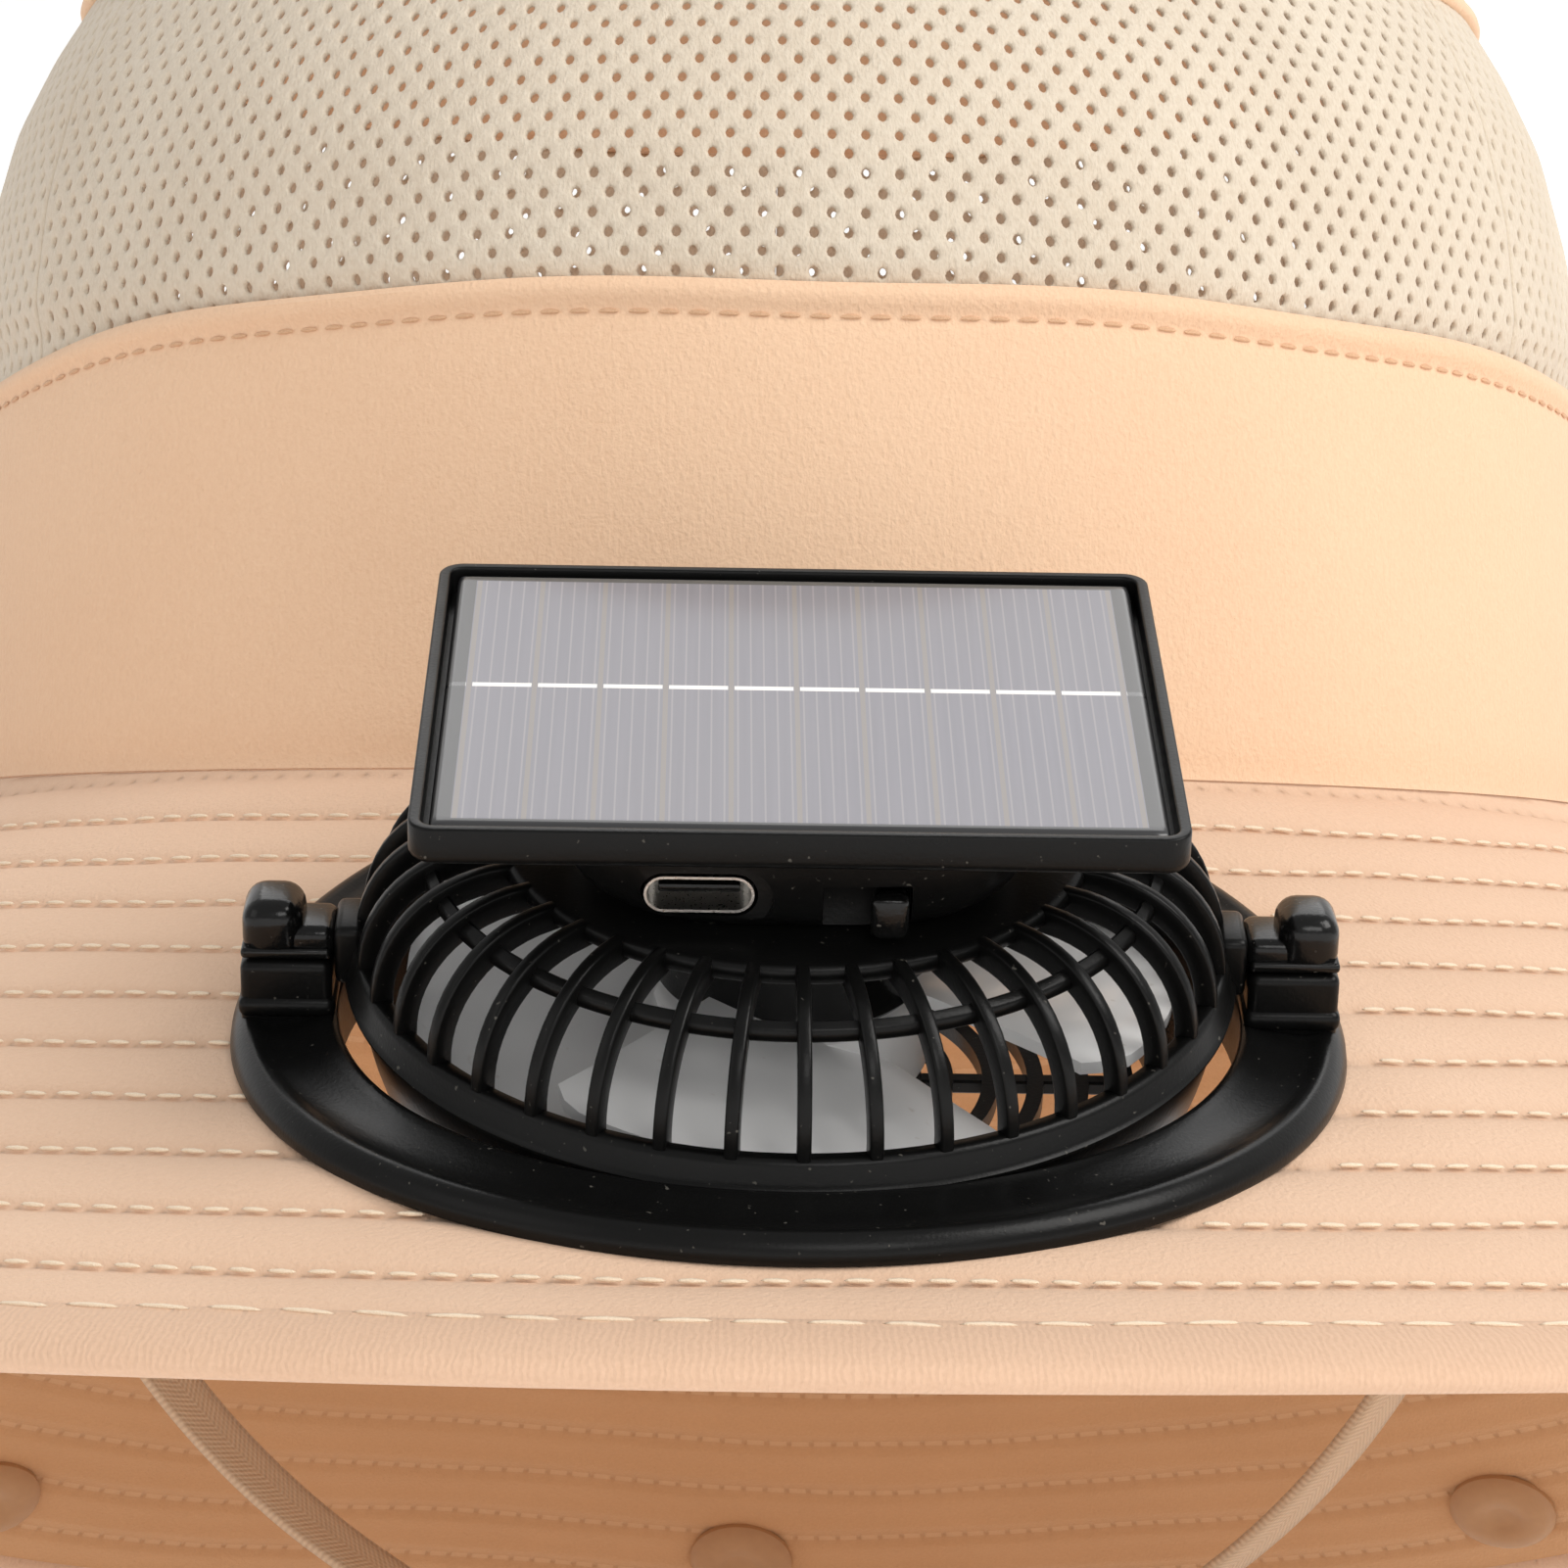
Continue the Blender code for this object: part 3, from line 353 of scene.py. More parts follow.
band_thread = thread_finish("band_thread", (0.80, 0.52, 0.33, 1), (0.55, 0.32, 0.18, 1))
count = round(math.tau * crown_radius(44.2 * MM) / (2.9 * MM))
bm = ring_of_stitches(count, 0.72, 0.5 * MM, 0.34 * MM)
for vert in bm.verts:
    turn = math.atan2(vert.co.x, -vert.co.y)
    across = Vector(vert.co[:2]).length - 1.0
    level = 44.2 * MM - across - band_drop(turn) * 0.885
    out = crown_radius(44.2 * MM) - 0.02 * MM + vert.co.z
    out += ripple(turn, 44.2 * MM) * math.sin(math.pi * 44.2 / 47) ** 0.6
    vert.co = (out * math.sin(turn), -out * math.cos(turn), level)
piece("band_topstitch", bm, band_thread, "hat")


# Net of the crown: a cream knitted mesh with staggered eyes, stretched between the band and the top.
# It is made of real strands, in three parts.
NET_ACROSS = 3.4 * MM
NET_UP = 4.0 * MM
NET_FOOT = 38.0 * MM
NET_WALL = 0.95 * MM
NET_STRAND = 0.78 * MM
net_knit = Finish("net_knit", {"Sheen Weight": 0.2, "Specular IOR Level": 0.25})
strands = noise(net_knit, 0.32 * MM, 2.0, stretched(net_knit, (1.0, 1.0, 0.5)))
clouds = noise(net_knit, 18 * MM, 1.0)
knit_share = strands * 0.7 + clouds * 0.3
knit_colour = two_colours(net_knit, knit_share, (0.56, 0.455, 0.34, 1), (0.80, 0.72, 0.60, 1))
net_knit.set("Base Color", knit_colour)
net_knit.set("Roughness", 0.95 - strands * 0.15)
bump(net_knit, strands, 0.16 * MM)
columns = round(math.tau * CROWN_RADIUS / NET_ACROSS)
side_length = 0.0
steps = 60
for i in range(steps):
    low = NET_FOOT + (NET_TOP - NET_FOOT) * i / steps
    high = NET_FOOT + (NET_TOP - NET_FOOT) * (i + 1) / steps
    side_length += math.hypot(high - low, crown_radius(high) - crown_radius(low))
rows = round(side_length / NET_UP)


def height_along(share):
    """Height of the point that lies a share of the net's side length up from its foot."""
    gone = 0.0
    for i in range(steps):
        low = NET_FOOT + (NET_TOP - NET_FOOT) * i / steps
        high = NET_FOOT + (NET_TOP - NET_FOOT) * (i + 1) / steps
        part = math.hypot(high - low, crown_radius(high) - crown_radius(low))
        if gone + part >= share * side_length or i == steps - 1:
            return low + (high - low) * (share * side_length - gone) / part
        gone += part


for number, word in enumerate(("front", "right", "left")):
    first = columns * number // 3
    last = columns * (number + 1) // 3
    bm = bmesh.new()
    wide = last - first
    bmesh.ops.create_grid(bm, x_segments=wide, y_segments=rows, size=0.5)
    old_edges = [edge for edge in bm.edges if len(edge.link_faces) == 2]
    bmesh.ops.scale(bm, vec=(wide * NET_ACROSS, rows * NET_UP, 1.0), verts=bm.verts)
    bmesh.ops.poke(bm, faces=bm.faces[:])
    bmesh.ops.dissolve_edges(bm, edges=old_edges)
    eyes = bm.faces[:]
    bmesh.ops.inset_individual(bm, faces=eyes, thickness=NET_STRAND, use_even_offset=True)
    bmesh.ops.delete(bm, geom=[face for face in eyes if len(face.verts) == 4], context="FACES")
    for vert in bm.verts:
        share = vert.co.x / NET_ACROSS + wide / 2
        turn = math.tau * (first + share) / columns - math.pi / 3
        height = height_along(min(max(vert.co.y / NET_UP / rows + 0.5, 0.0), 1.0))
        behind = min(max((49 * MM - height) / (3 * MM), 0.0), 1.0)
        out = crown_radius(height) + ripple(turn, height) * 0.5 - (0.2 + 1.3 * behind) * MM
        vert.co = (out * math.sin(turn), -out * math.cos(turn), height)
    bmesh.ops.recalc_face_normals(bm, faces=bm.faces)
    face = max(bm.faces, key=lambda f: f.calc_center_median().z)
    if face.normal.dot(Vector((*face.calc_center_median()[:2], 0.0))) < 0:
        bmesh.ops.reverse_faces(bm, faces=bm.faces)
    net = piece("crown_net_" + word, bm, net_knit, "hat", sharp=180, nodes=("crown_net",))
    wall = net.modifiers.new("wall", "SOLIDIFY")
    wall.thickness = NET_WALL
    wall.offset = -1.0
    soft = net.modifiers.new("soft", "SUBSURF")
    soft.levels = 1
    soft.render_levels = 1


# Top of the crown: a round of the same peach cloth, sewn to the net with a corded seam.
TOP_RISE = 12.7 * MM
TOP_SQUARENESS = 2.6
top_foot = NET_TOP
top_radius = crown_radius(NET_TOP)
outline = []
for i in range(25):
    turn = math.radians(90 - 90 * i / 24)
    across = top_radius * abs(math.cos(turn)) ** (2 / TOP_SQUARENESS) if i else 0.0
    rise = TOP_RISE * abs(math.sin(turn)) ** (2 / TOP_SQUARENESS) if i < 24 else 0.0
    outline.append((across, top_foot + rise))
TOP_WALL = 1.8 * MM
inner = []
for x, z in reversed(outline):
    inner.append((max(x - TOP_WALL, 0.0), z - TOP_WALL * min(1.0, (z - top_foot) / (4 * MM))))
bm = turned(outline + inner, 180)
for vert in bm.verts:
    turn = math.atan2(vert.co.x, -vert.co.y)
    share = Vector(vert.co[:2]).length / top_radius
    vert.co.z += 0.5 * MM * math.sin(turn * 4 + 1) * share * (1 - share ** 6)
top_panel = piece("crown_top_cloth", bm, band_cloth, "hat", nodes=("crown_top",))
CORD_RADIUS = 0.9 * MM
cord = []
for i in range(12):
    turn = math.radians(30 * i)
    across = top_radius + CORD_RADIUS * math.cos(turn)
    cord.append((across, top_foot + 0.4 * MM + CORD_RADIUS * math.sin(turn)))
piece("crown_top_piping", turned(cord, 160), band_cloth, "hat")


# Brim: two layers of the peach cloth quilted together by rows of cream lockstitch, which run
# parallel to the outer edge. The cloth swells a little between the rows, on both faces.
BRIM_FRONT_WIDTH = 112.0 * MM
BRIM_BACK_WIDTH = 150.0 * MM
BRIM_WALL = 2.1 * MM
BRIM_FRONT_SLOPE = 25.6
BRIM_BACK_SLOPE_AT_CROWN = 58.0
BRIM_BACK_SLOPE_AT_EDGE = 46.0
BRIM_BACK_FALL = 1.8
ROW_FIRST = 14.1 * MM
ROW_PITCH = 9.71 * MM
STITCH_PITCH = 3.2 * MM


def back_share(turn):
    return ((1 - math.cos(turn)) / 2) ** BRIM_BACK_FALL


def brim_width(turn):
    return BRIM_FRONT_WIDTH + (BRIM_BACK_WIDTH - BRIM_FRONT_WIDTH) * back_share(turn)


def brim_slope(turn, share):
    at_back = BRIM_BACK_SLOPE_AT_CROWN + (BRIM_BACK_SLOPE_AT_EDGE - BRIM_BACK_SLOPE_AT_CROWN) * share
    return math.radians(BRIM_FRONT_SLOPE + (at_back - BRIM_FRONT_SLOPE) * back_share(turn))


def on_brim(turn, inward, height=0.0):
    """A point of the brim, inward from its outer edge, at a height over its top face."""
    width = brim_width(turn)
    length = max(width - inward, 0.0)
    radius = CROWN_RADIUS
    level = 0.0
    steps = 8
    for i in range(steps):
        slope = brim_slope(turn, length / width * (i + 0.5) / steps)
        radius += length / steps * math.cos(slope)
        level -= length / steps * math.sin(slope)
    slope = brim_slope(turn, length / width)
    wave = back_share(turn) * length / width * 1.6 * MM
    height += wave * (math.sin(turn * 6 + 0.5) + 0.6 * math.sin(turn * 11 + 2.0))
    radius += height * math.sin(slope)
    level += height * math.cos(slope)
    return Vector((radius * math.sin(turn), -radius * math.cos(turn), level))


def nearest_row(inward):
    return max(round((inward - ROW_FIRST) / ROW_PITCH), 0)


def row_inward(row):
    return ROW_FIRST + ROW_PITCH * row


def row_count(row):
    """Stitches all round a row, so that they have their pitch at the front."""
    radius = CROWN_RADIUS + (BRIM_FRONT_WIDTH - row_inward(row)) * math.cos(math.radians(BRIM_FRONT_SLOPE))
    return round(math.tau * max(radius, CROWN_RADIUS) / STITCH_PITCH)


def row_wander(turn, row):
    """How far a row strays sideways as it was sewn."""
    return 0.16 * MM * (math.sin(turn * 13 + row * 1.7) + 0.7 * math.sin(turn * 31 + row * 2.9))


def groove(inward, turn):
    """1 in the groove of a stitch row, falling to 0 between the rows."""
    row = nearest_row(inward)
    away = (inward - row_inward(row) - row_wander(turn, row)) / MM
    return math.exp(-(away / 0.95) ** 2)


SEAT_SLOPE = math.radians(BRIM_FRONT_SLOPE)
FAN_FROM_SEAM = 48.6 * MM
seat_out = CROWN_RADIUS + FAN_FROM_SEAM * math.cos(SEAT_SLOPE)
seat_centre = Vector((0, -seat_out, -FAN_FROM_SEAM * math.sin(SEAT_SLOPE)))
seat = Matrix.Translation(seat_centre) @ Matrix.Rotation(SEAT_SLOPE, 4, "X")
seat = seat @ Matrix.Translation((0, 0, 0.3 * MM))
seat_inverse = seat.inverted()


def from_fan(point):
    return Vector((seat_inverse @ point)[:2]).length


def brim_cloth(name, pale, deep, thread_shows, pit_shade_strength):
    """The brim's cloth, with needle pits in the grooves and, underneath, the lower thread. The pits and the
    groove of each row get painted shade.
    """
    cloth, grain = brushed_cloth(name, pale, deep)
    axes = cloth.tree.nodes.new("ShaderNodeSeparateXYZ")
    cloth.feed(axes.inputs[0], cloth.node("UVMap", {"uv_map": "rows"}))
    along = Wire(cloth, axes.outputs[0])
    across = Wire(cloth, axes.outputs[1]) / MM
    phase = abs((along + 0.5) % 1.0 - 0.5)
    from_pit = (phase * 3.2) * (phase * 3.2) + across * across
    pit = 1.0 / (1.0 + from_pit * 9.0)
    # Painted shade: the needle pits and the middle of each stitch groove are darkened towards deep brown
    # below.
    groove_shade_mask = 1.0 / (1.0 + across * across * 1.2)
    height = grain * 0.62 - pit * 0.8
    pit_and_groove_shade = pit * pit_shade_strength + groove_shade_mask * 0.06
    colour = two_colours(cloth, (noise(cloth, 0.45 * MM, 3.0) + noise(cloth, 24 * MM)) * 0.5, deep, pale)
    colour = two_colours(cloth, pit_and_groove_shade, colour, (0.36, 0.19, 0.10, 1))
    if thread_shows:
        thread = (abs(across) < 0.26) * (phase > 0.12)
        colour = two_colours(cloth, thread * 0.22, colour, (0.86, 0.60, 0.38, 1))
        height = height + thread * 0.5
    cloth.set("Base Color", colour)
    bump(cloth, height, 0.30 * MM, 0.9)
    return cloth


brim_top_cloth = brim_cloth("brim_cloth", (0.850, 0.605, 0.440, 1), (0.715, 0.470, 0.318, 1), False, 0.42)
# The underside is the same peach cloth, painted darker and more orange: painted shade and painted warm
# bounce light under the brim.
brim_shaded_under_cloth = brim_cloth("brim_shaded_under_cloth",
                              (0.70, 0.405, 0.21, 1), (0.58, 0.32, 0.155, 1), True, 0.22)

lines = [1.0, 3.0, 5.2, 6.6, 8.0, 9.4]
row = 0
while row_inward(row) < BRIM_BACK_WIDTH:
    for off in (-3.6, -2.2, -1.3, -0.65, 0.0, 0.65, 1.3, 2.2, 3.6, 4.855):
        lines.append(row_inward(row) / MM + off)
    row += 1
lines = [line * MM for line in lines if line * MM < BRIM_BACK_WIDTH] + [BRIM_BACK_WIDTH]
bm = bmesh.new()
bmesh.ops.create_grid(bm, x_segments=300, y_segments=len(lines) - 1, size=0.5)
for vert in bm.verts:
    line = lines[round((vert.co.y + 0.5) * (len(lines) - 1))]
    vert.co = ((vert.co.x + 0.5) * math.tau + math.pi, line, 0.0)
layer = bm.loops.layers.uv.new("rows")
for face in bm.faces:
    row = nearest_row(face.calc_center_median().y)
    for loop in face.loops:
        turn = loop.vert.co.x
        away = loop.vert.co.y - row_inward(row) - row_wander(turn, row)
        loop[layer].uv = (row_count(row) * turn / math.tau, away)
weights = bm.verts.layers.deform.verify()
for vert in bm.verts:
    turn, inward = vert.co.x, vert.co.y
    sunk = groove(inward, turn)
    vert[weights][0] = 1.0 - 0.42 * sunk
    if inward > brim_width(turn) - 0.5 * MM:
        sunk = 0.0
    swell = 0.14 * math.cos(math.tau * (inward - ROW_FIRST) / ROW_PITCH + math.pi)
    seam_fade = min(max((brim_width(turn) - inward) / (3 * MM), 0.0), 1.0)
    vert.co = on_brim(turn, inward, ((swell - 0.42 * sunk) * seam_fade - 0.16) * MM)
bmesh.ops.remove_doubles(bm, verts=bm.verts, dist=0.00001)
middles = [(face, face.calc_center_median()) for face in bm.faces]
gone = [face for face, middle in middles if from_fan(middle) < 41.2 * MM and middle.y < 0]
bmesh.ops.delete(bm, geom=gone, context="FACES")
bmesh.ops.recalc_face_normals(bm, faces=bm.faces)
if sum(face.normal.z for face in bm.faces) < 0:
    bmesh.ops.reverse_faces(bm, faces=bm.faces)
brim = piece("brim_quilt", bm, brim_top_cloth, "hat", sharp=180, nodes=("brim",))
brim.vertex_groups.new(name="swell")
brim.data.materials.append(brim_shaded_under_cloth.material)
wall = brim.modifiers.new("wall", "SOLIDIFY")
wall.thickness = BRIM_WALL
wall.offset = -1.0
wall.vertex_group = "swell"
wall.material_offset = 1


# The rows of cream stitching on the brim's top face: one lens of thread for each stitch, left out
# where the fan's flange covers the cloth.
brim_thread = thread_finish("brim_thread", (0.96, 0.82, 0.64, 1), (0.80, 0.62, 0.44, 1))


def sew_row(row, inward, count, length, lift, width=0.52 * MM, height=0.42 * MM):
    """One row of stitches laid on the brim, with a little unevenness."""
    bm = ring_of_stitches(count, length, width, height)
    chance = random.Random(row * 7 + 3)
    slants = [chance.uniform(-0.10, 0.02) for i in range(count)]
    shifts = [chance.uniform(-0.07, 0.07) * MM for i in range(count)]
    hidden = []
    for vert in bm.verts:
        turn = math.atan2(vert.co.x, -vert.co.y) % math.tau
        index = round(turn / math.tau * count) % count
        middle = index / count * math.tau
        along = (turn - middle + math.pi) % math.tau - math.pi
        point = on_brim(middle, inward)
        reach = Vector(point[:2]).length
        across = Vector(vert.co[:2]).length - 1.0
        away = inward - across + row_wander(turn, row) + shifts[index] + along * reach * slants[index]
        if (from_fan(point) < 48.6 * MM and point.y < 0) or inward > brim_width(middle) - 4.5 * MM:
            hidden.append(vert)
        shifted = turn + math.pi / count
        vert.co = on_brim(shifted, away, vert.co.z + lift)
    bmesh.ops.delete(bm, geom=hidden, context="VERTS")
    return bm


stitches = bmesh.new()
row = 0
while row_inward(row) < BRIM_BACK_WIDTH - 4 * MM:
    add_to(stitches, sew_row(row, row_inward(row), row_count(row), 0.76, -0.27 * MM))
    row += 1
piece("brim_stitches", stitches, brim_thread, "hat", sharp=180)


# Binding of the brim: the cloth turned round the edge and sewn down with longer stitches, so that
# its fine ribs run across the edge.
binding_cloth, binding_grain = brushed_cloth("binding_cloth", (0.79, 0.54, 0.38, 1), (0.66, 0.43, 0.29, 1))
rib_axes = binding_cloth.tree.nodes.new("ShaderNodeSeparateXYZ")
binding_cloth.feed(rib_axes.inputs[0], binding_cloth.node("UVMap", {"uv_map": "ribs"}))
rib_along = Wire(binding_cloth, rib_axes.outputs[0])
rib_across = Wire(binding_cloth, rib_axes.outputs[1]) / MM
rib_phase = abs((rib_along / (0.62 * MM) + noise(binding_cloth, 1.5 * MM) * 1.6) % 1.0 - 0.5) * 2.0
pucker = abs((rib_along / (5.75 * MM) + 0.5) % 1.0 - 0.5)
edge_pit = 1.0 / (1.0 + pucker * pucker * 900.0 + (rib_across - 7.0) * (rib_across - 7.0) * 7.0)
bump(binding_cloth, rib_phase * 0.18 + binding_grain * 0.30 - edge_pit * 1.1, 0.26 * MM, 0.8)
section = [(7.7, -0.9), (7.65, -0.1), (7.4, 0.22), (6.9, 0.16), (6.2, 0.30), (5.0, 0.45),
           (3.4, 0.46), (2.0, 0.34), (1.0, 0.10), (0.35, -0.35), (0.05, -1.0), (0.15, -1.6),
           (0.6, -2.15), (1.6, -2.45), (3.4, -2.6), (5.6, -2.55),
           (7.3, -2.35), (7.7, -1.7)]
bm = bmesh.new()
bmesh.ops.create_grid(bm, x_segments=420, y_segments=len(section), size=0.5)
layer = bm.loops.layers.uv.new("ribs")
for face in bm.faces:
    for loop in face.loops:
        index = round((loop.vert.co.y + 0.5) * len(section)) % len(section)
        reach = Vector(on_brim(0.0, 4 * MM)[:2]).length
        loop[layer].uv = ((loop.vert.co.x + 0.5) * math.tau * reach, section[index][0] * MM)
for vert in bm.verts:
    turn = (vert.co.x + 0.5) * math.tau + math.pi
    inward, height = section[round((vert.co.y + 0.5) * len(section)) % len(section)]
    puff = 0.10 * math.sin(turn * 204) * (1 if 1.0 < inward < 6.5 else 0)
    vert.co = on_brim(turn, inward * MM, (height + puff) * MM)
bmesh.ops.remove_doubles(bm, verts=bm.verts, dist=0.00001)
bmesh.ops.recalc_face_normals(bm, faces=bm.faces)
piece("brim_binding", bm, binding_cloth, "hat", sharp=60)
edge_count = round(math.tau * 186.3 / 5.75)
bm = sew_row(40, 7.0 * MM, edge_count, 0.80, 0.22 * MM)
piece("binding_stitches", bm, brim_thread, "hat", sharp=180)


# Snap buttons: three moulded caps pressed through the underside near the back edge.
SNAP_RADIUS = 7.5 * MM
SNAP_HEIGHT = 2.2 * MM
SNAP_SPACING = 105.0 * MM
SNAP_INSET = 19.0 * MM
snap_finish = Finish("snap_plastic", {"Specular IOR Level": 0.4})
scuffs = noise(snap_finish, 1.8 * MM, 3.0)
snap_shade = two_colours(snap_finish, scuffs, (0.44, 0.24, 0.115, 1), (0.52, 0.30, 0.15, 1))
snap_finish.set("Base Color", snap_shade)
snap_finish.set("Roughness", 0.40 + scuffs * 0.2)
bump(snap_finish, scuffs, 0.05 * MM)
snap_side = [(0.0, 0.72), (0.22, 0.72), (0.30, 0.80), (0.42, 0.97), (0.60, 1.0), (0.80, 0.93),
             (0.93, 0.70), (1.0, 0.36),
             (0.99, 0.0), (0.0, 0.0)]
for i in (-1, 0, 1):
    reach = Vector(on_brim(math.pi, SNAP_INSET)[:2]).length
    turn = math.pi - math.asin(i * SNAP_SPACING / reach)
    out = on_brim(turn, SNAP_INSET - 1 * MM) - on_brim(turn, SNAP_INSET + 1 * MM)
    side = on_brim(turn + 0.01, SNAP_INSET) - on_brim(turn - 0.01, SNAP_INSET)
    down = side.cross(out).normalized()
    if down.z > 0:
        down = -down
    facing = down.to_track_quat("Z", "X").to_matrix().to_4x4()
    place = Matrix.Translation(on_brim(turn, SNAP_INSET) + down * 2.2 * MM) @ facing
    name = "snap_button_%d" % (i + 2)
    bm = turned([(r * SNAP_RADIUS, z * SNAP_HEIGHT) for r, z in snap_side], 48)
    piece(name + "_cap", bm, snap_finish, "hat", place, nodes=(name,))


# Chin strap: one flat woven ribbon, sewn inside the band at both ends, that hangs in a loop.
STRAP_WIDTH = 7.6 * MM
STRAP_WALL = 1.0 * MM
STRAP_DROP = 101.0 * MM
STRAP_TAB = 12.0 * MM
STRAP_REACH = CROWN_RADIUS - 2.2 * MM - 0.9 * MM - 0.6 * MM
strap_ribbon = Finish("strap_ribbon", {"Sheen Weight": 0.15, "Specular IOR Level": 0.3})
strap_axes = strap_ribbon.tree.nodes.new("ShaderNodeSeparateXYZ")
strap_ribbon.feed(strap_axes.inputs[0], strap_ribbon.node("UVMap", {"uv_map": "strap"}))
strap_along = Wire(strap_ribbon, strap_axes.outputs[0]) / MM
strap_across = Wire(strap_ribbon, strap_axes.outputs[1]) / MM
weft = abs((strap_along / 0.7 + abs(strap_across) * 0.8) % 1.0 - 0.5) * 2.0
warp = abs((strap_across / 0.62) % 1.0 - 0.5) * 2.0
weave = weft * 0.6 + warp * 0.4
strap_shade = two_colours(strap_ribbon, weave, (0.58, 0.41, 0.27, 1), (0.80, 0.61, 0.43, 1))
strap_ribbon.set("Base Color", strap_shade)
strap_ribbon.set("Roughness", 0.85 - weave * 0.15)
bump(strap_ribbon, weave, 0.16 * MM)
steps = 120
points = []
for i in range(steps + 1):
    share = i / steps
    turn = math.pi * share
    across = math.copysign(STRAP_REACH * abs(math.cos(turn)) ** (2 / 2.1), share - 0.5)
    down = abs(math.sin(turn)) ** (2 / 2.1)
    points.append(Vector((across + 5.0 * MM * down * down, 0.0, -STRAP_DROP * down)))
points = [points[0] + Vector((0, 0, STRAP_TAB))] + points + [points[-1] + Vector((0, 0, STRAP_TAB))]
bm = bmesh.new()
bmesh.ops.create_grid(bm, x_segments=len(points) - 1, y_segments=4, size=0.5)
layer = bm.loops.layers.uv.new("strap")
lengths = [0.0]
for low, high in zip(points, points[1:]):
    lengths.append(lengths[-1] + (high - low).length)
for face in bm.faces:
    for loop in face.loops:
        index = round((loop.vert.co.x + 0.5) * (len(points) - 1))
        loop[layer].uv = (lengths[index], loop.vert.co.y * STRAP_WIDTH)
for vert in bm.verts:
    index = round((vert.co.x + 0.5) * (len(points) - 1))
    share = index / (len(points) - 1)
    twist = math.radians(50) * math.sin(math.pi * share) ** 0.5 * math.cos(math.pi * share)
    across = vert.co.y * STRAP_WIDTH
    along = points[min(index + 1, len(points) - 1)] - points[max(index - 1, 0)]
    side = along.normalized().cross(Vector((0, 1, 0)))
    vert.co = points[index] + Vector((0, across * math.cos(twist), 0)) + side * across * math.sin(twist)
strap = piece("chin_strap_ribbon", bm, strap_ribbon, "hat", sharp=60, nodes=("chin_strap",))
wall = strap.modifiers.new("wall", "SOLIDIFY")
wall.thickness = STRAP_WALL
wall.offset = 0.0


# Flange of the fan: a moulded black ring that lies on the brim, bent to its cone, with a sleeve
# through the cloth and a post at each side. Satin black plastic with a few scuffs and dust.
PIVOT_HEIGHT = 4.0 * MM


def black_plastic(name, rough, spec, shade=0.0035):
    """Injection moulded plastic: a faint orange-peel skin, finger marks, and dust in places."""
    plastic = Finish(name, {"Specular IOR Level": spec})
    marks = noise(plastic, 7 * MM, 4.0)
    skin = noise(plastic, 0.35 * MM, 2.0)
    speck = noise(plastic, 0.55 * MM, 1.0)
    dust = plastic.node("MapRange", {}, {"Value": speck, "From Min": 0.74, "From Max": 0.80})
    rubbed = (shade * 1.5, shade * 1.5, shade * 1.45, 1)
    colour = two_colours(plastic, marks, (shade, shade, shade, 1), rubbed)
    plastic.set("Base Color", two_colours(plastic, dust * 0.5, colour, (0.16, 0.15, 0.13, 1)))
    plastic.set("Roughness", marks * 0.18 + (rough - 0.08) + dust * 0.2)
    bump(plastic, skin, 0.018 * MM)
    return plastic


def droop(bm):
    """Bend a part of the fan's base sideways over the cone of the brim."""
    radius = CROWN_RADIUS + FAN_FROM_SEAM * math.cos(SEAT_SLOPE)
    for vert in bm.verts:
        curve = math.sin(SEAT_SLOPE) / (2 * (radius - vert.co.y * math.cos(SEAT_SLOPE)))
        vert.co.z -= curve * vert.co.x ** 2


satin_black = black_plastic("satin_black", 0.30, 0.17)
gloss_black = black_plastic("gloss_black", 0.18, 0.30)
flange_side = [(47.6, -0.35), (47.72, 0.0), (47.6, 0.75), (47.25, 1.25), (46.9, 1.6), (46.4, 1.9),
               (45.9, 1.98), (45.4, 1.85), (44.9, 1.55), (44.2, 1.32), (43.0, 1.22), (41.5, 1.28),
               (40.2, 1.45), (39.3, 1.55), (38.8, 1.5), (38.5, 1.2),
               (38.5, -4.9), (39.7, -4.9), (39.7, -0.35)]
bm = turned([(r * MM, z * MM) for r, z in flange_side], 200)
droop(bm)
piece("fan_flange_ring", bm, satin_black, "hat", seat, sharp=50, nodes=("fan_flange",))


def soft_block(size, centre, edge, segments=4, foot_square=False):
    """A box with rounded edges."""
    bm = bmesh.new()
    bmesh.ops.create_cube(bm, size=1.0)
    bmesh.ops.scale(bm, vec=size, verts=bm.verts)
    edges = [e for e in bm.edges if not foot_square or max(v.co.z for v in e.verts) > 0]
    bmesh.ops.bevel(bm, geom=edges, offset=edge, segments=segments, profile=0.5, affect="EDGES",
                    material=-1, clamp_overlap=True)
    bmesh.ops.translate(bm, vec=centre, verts=bm.verts)
    return bm


for side, word in ((-1, "left"), (1, "right")):
    bm = soft_block((7.8 * MM, 7.4 * MM, 6.4 * MM), (side * 42.75 * MM, 0, 0.65 * MM), 0.9 * MM, 5)
    add_to(bm, soft_block((8.3 * MM, 8.2 * MM, 1.9 * MM), (side * 42.7 * MM, 0, -0.35 * MM), 0.8 * MM, 4))
    piece("pivot_post_" + word, bm, satin_black, "hat", seat)


# Pivot caps: glossy rounded caps screwed down on the posts over the fan's pins.
for side, word in ((-1, "left"), (1, "right")):
    bm = soft_block((5.2 * MM, 7.0 * MM, 5.4 * MM), (side * 43.9 * MM, 0, 6.2 * MM), 1.9 * MM, 6)
    add_to(bm, soft_block((4.2 * MM, 6.2 * MM, 2.8 * MM), (side * 40.7 * MM, 0, 5.3 * MM), 1.0 * MM, 5))
    add_to(bm, soft_block((7.6 * MM, 7.2 * MM, 0.9 * MM), (side * 42.75 * MM, 0, 4.55 * MM), 0.35 * MM, 3))
    name = "pivot_cap_" + word
    piece(name + "_shell", bm, gloss_black, "hat", seat, nodes=(name,))


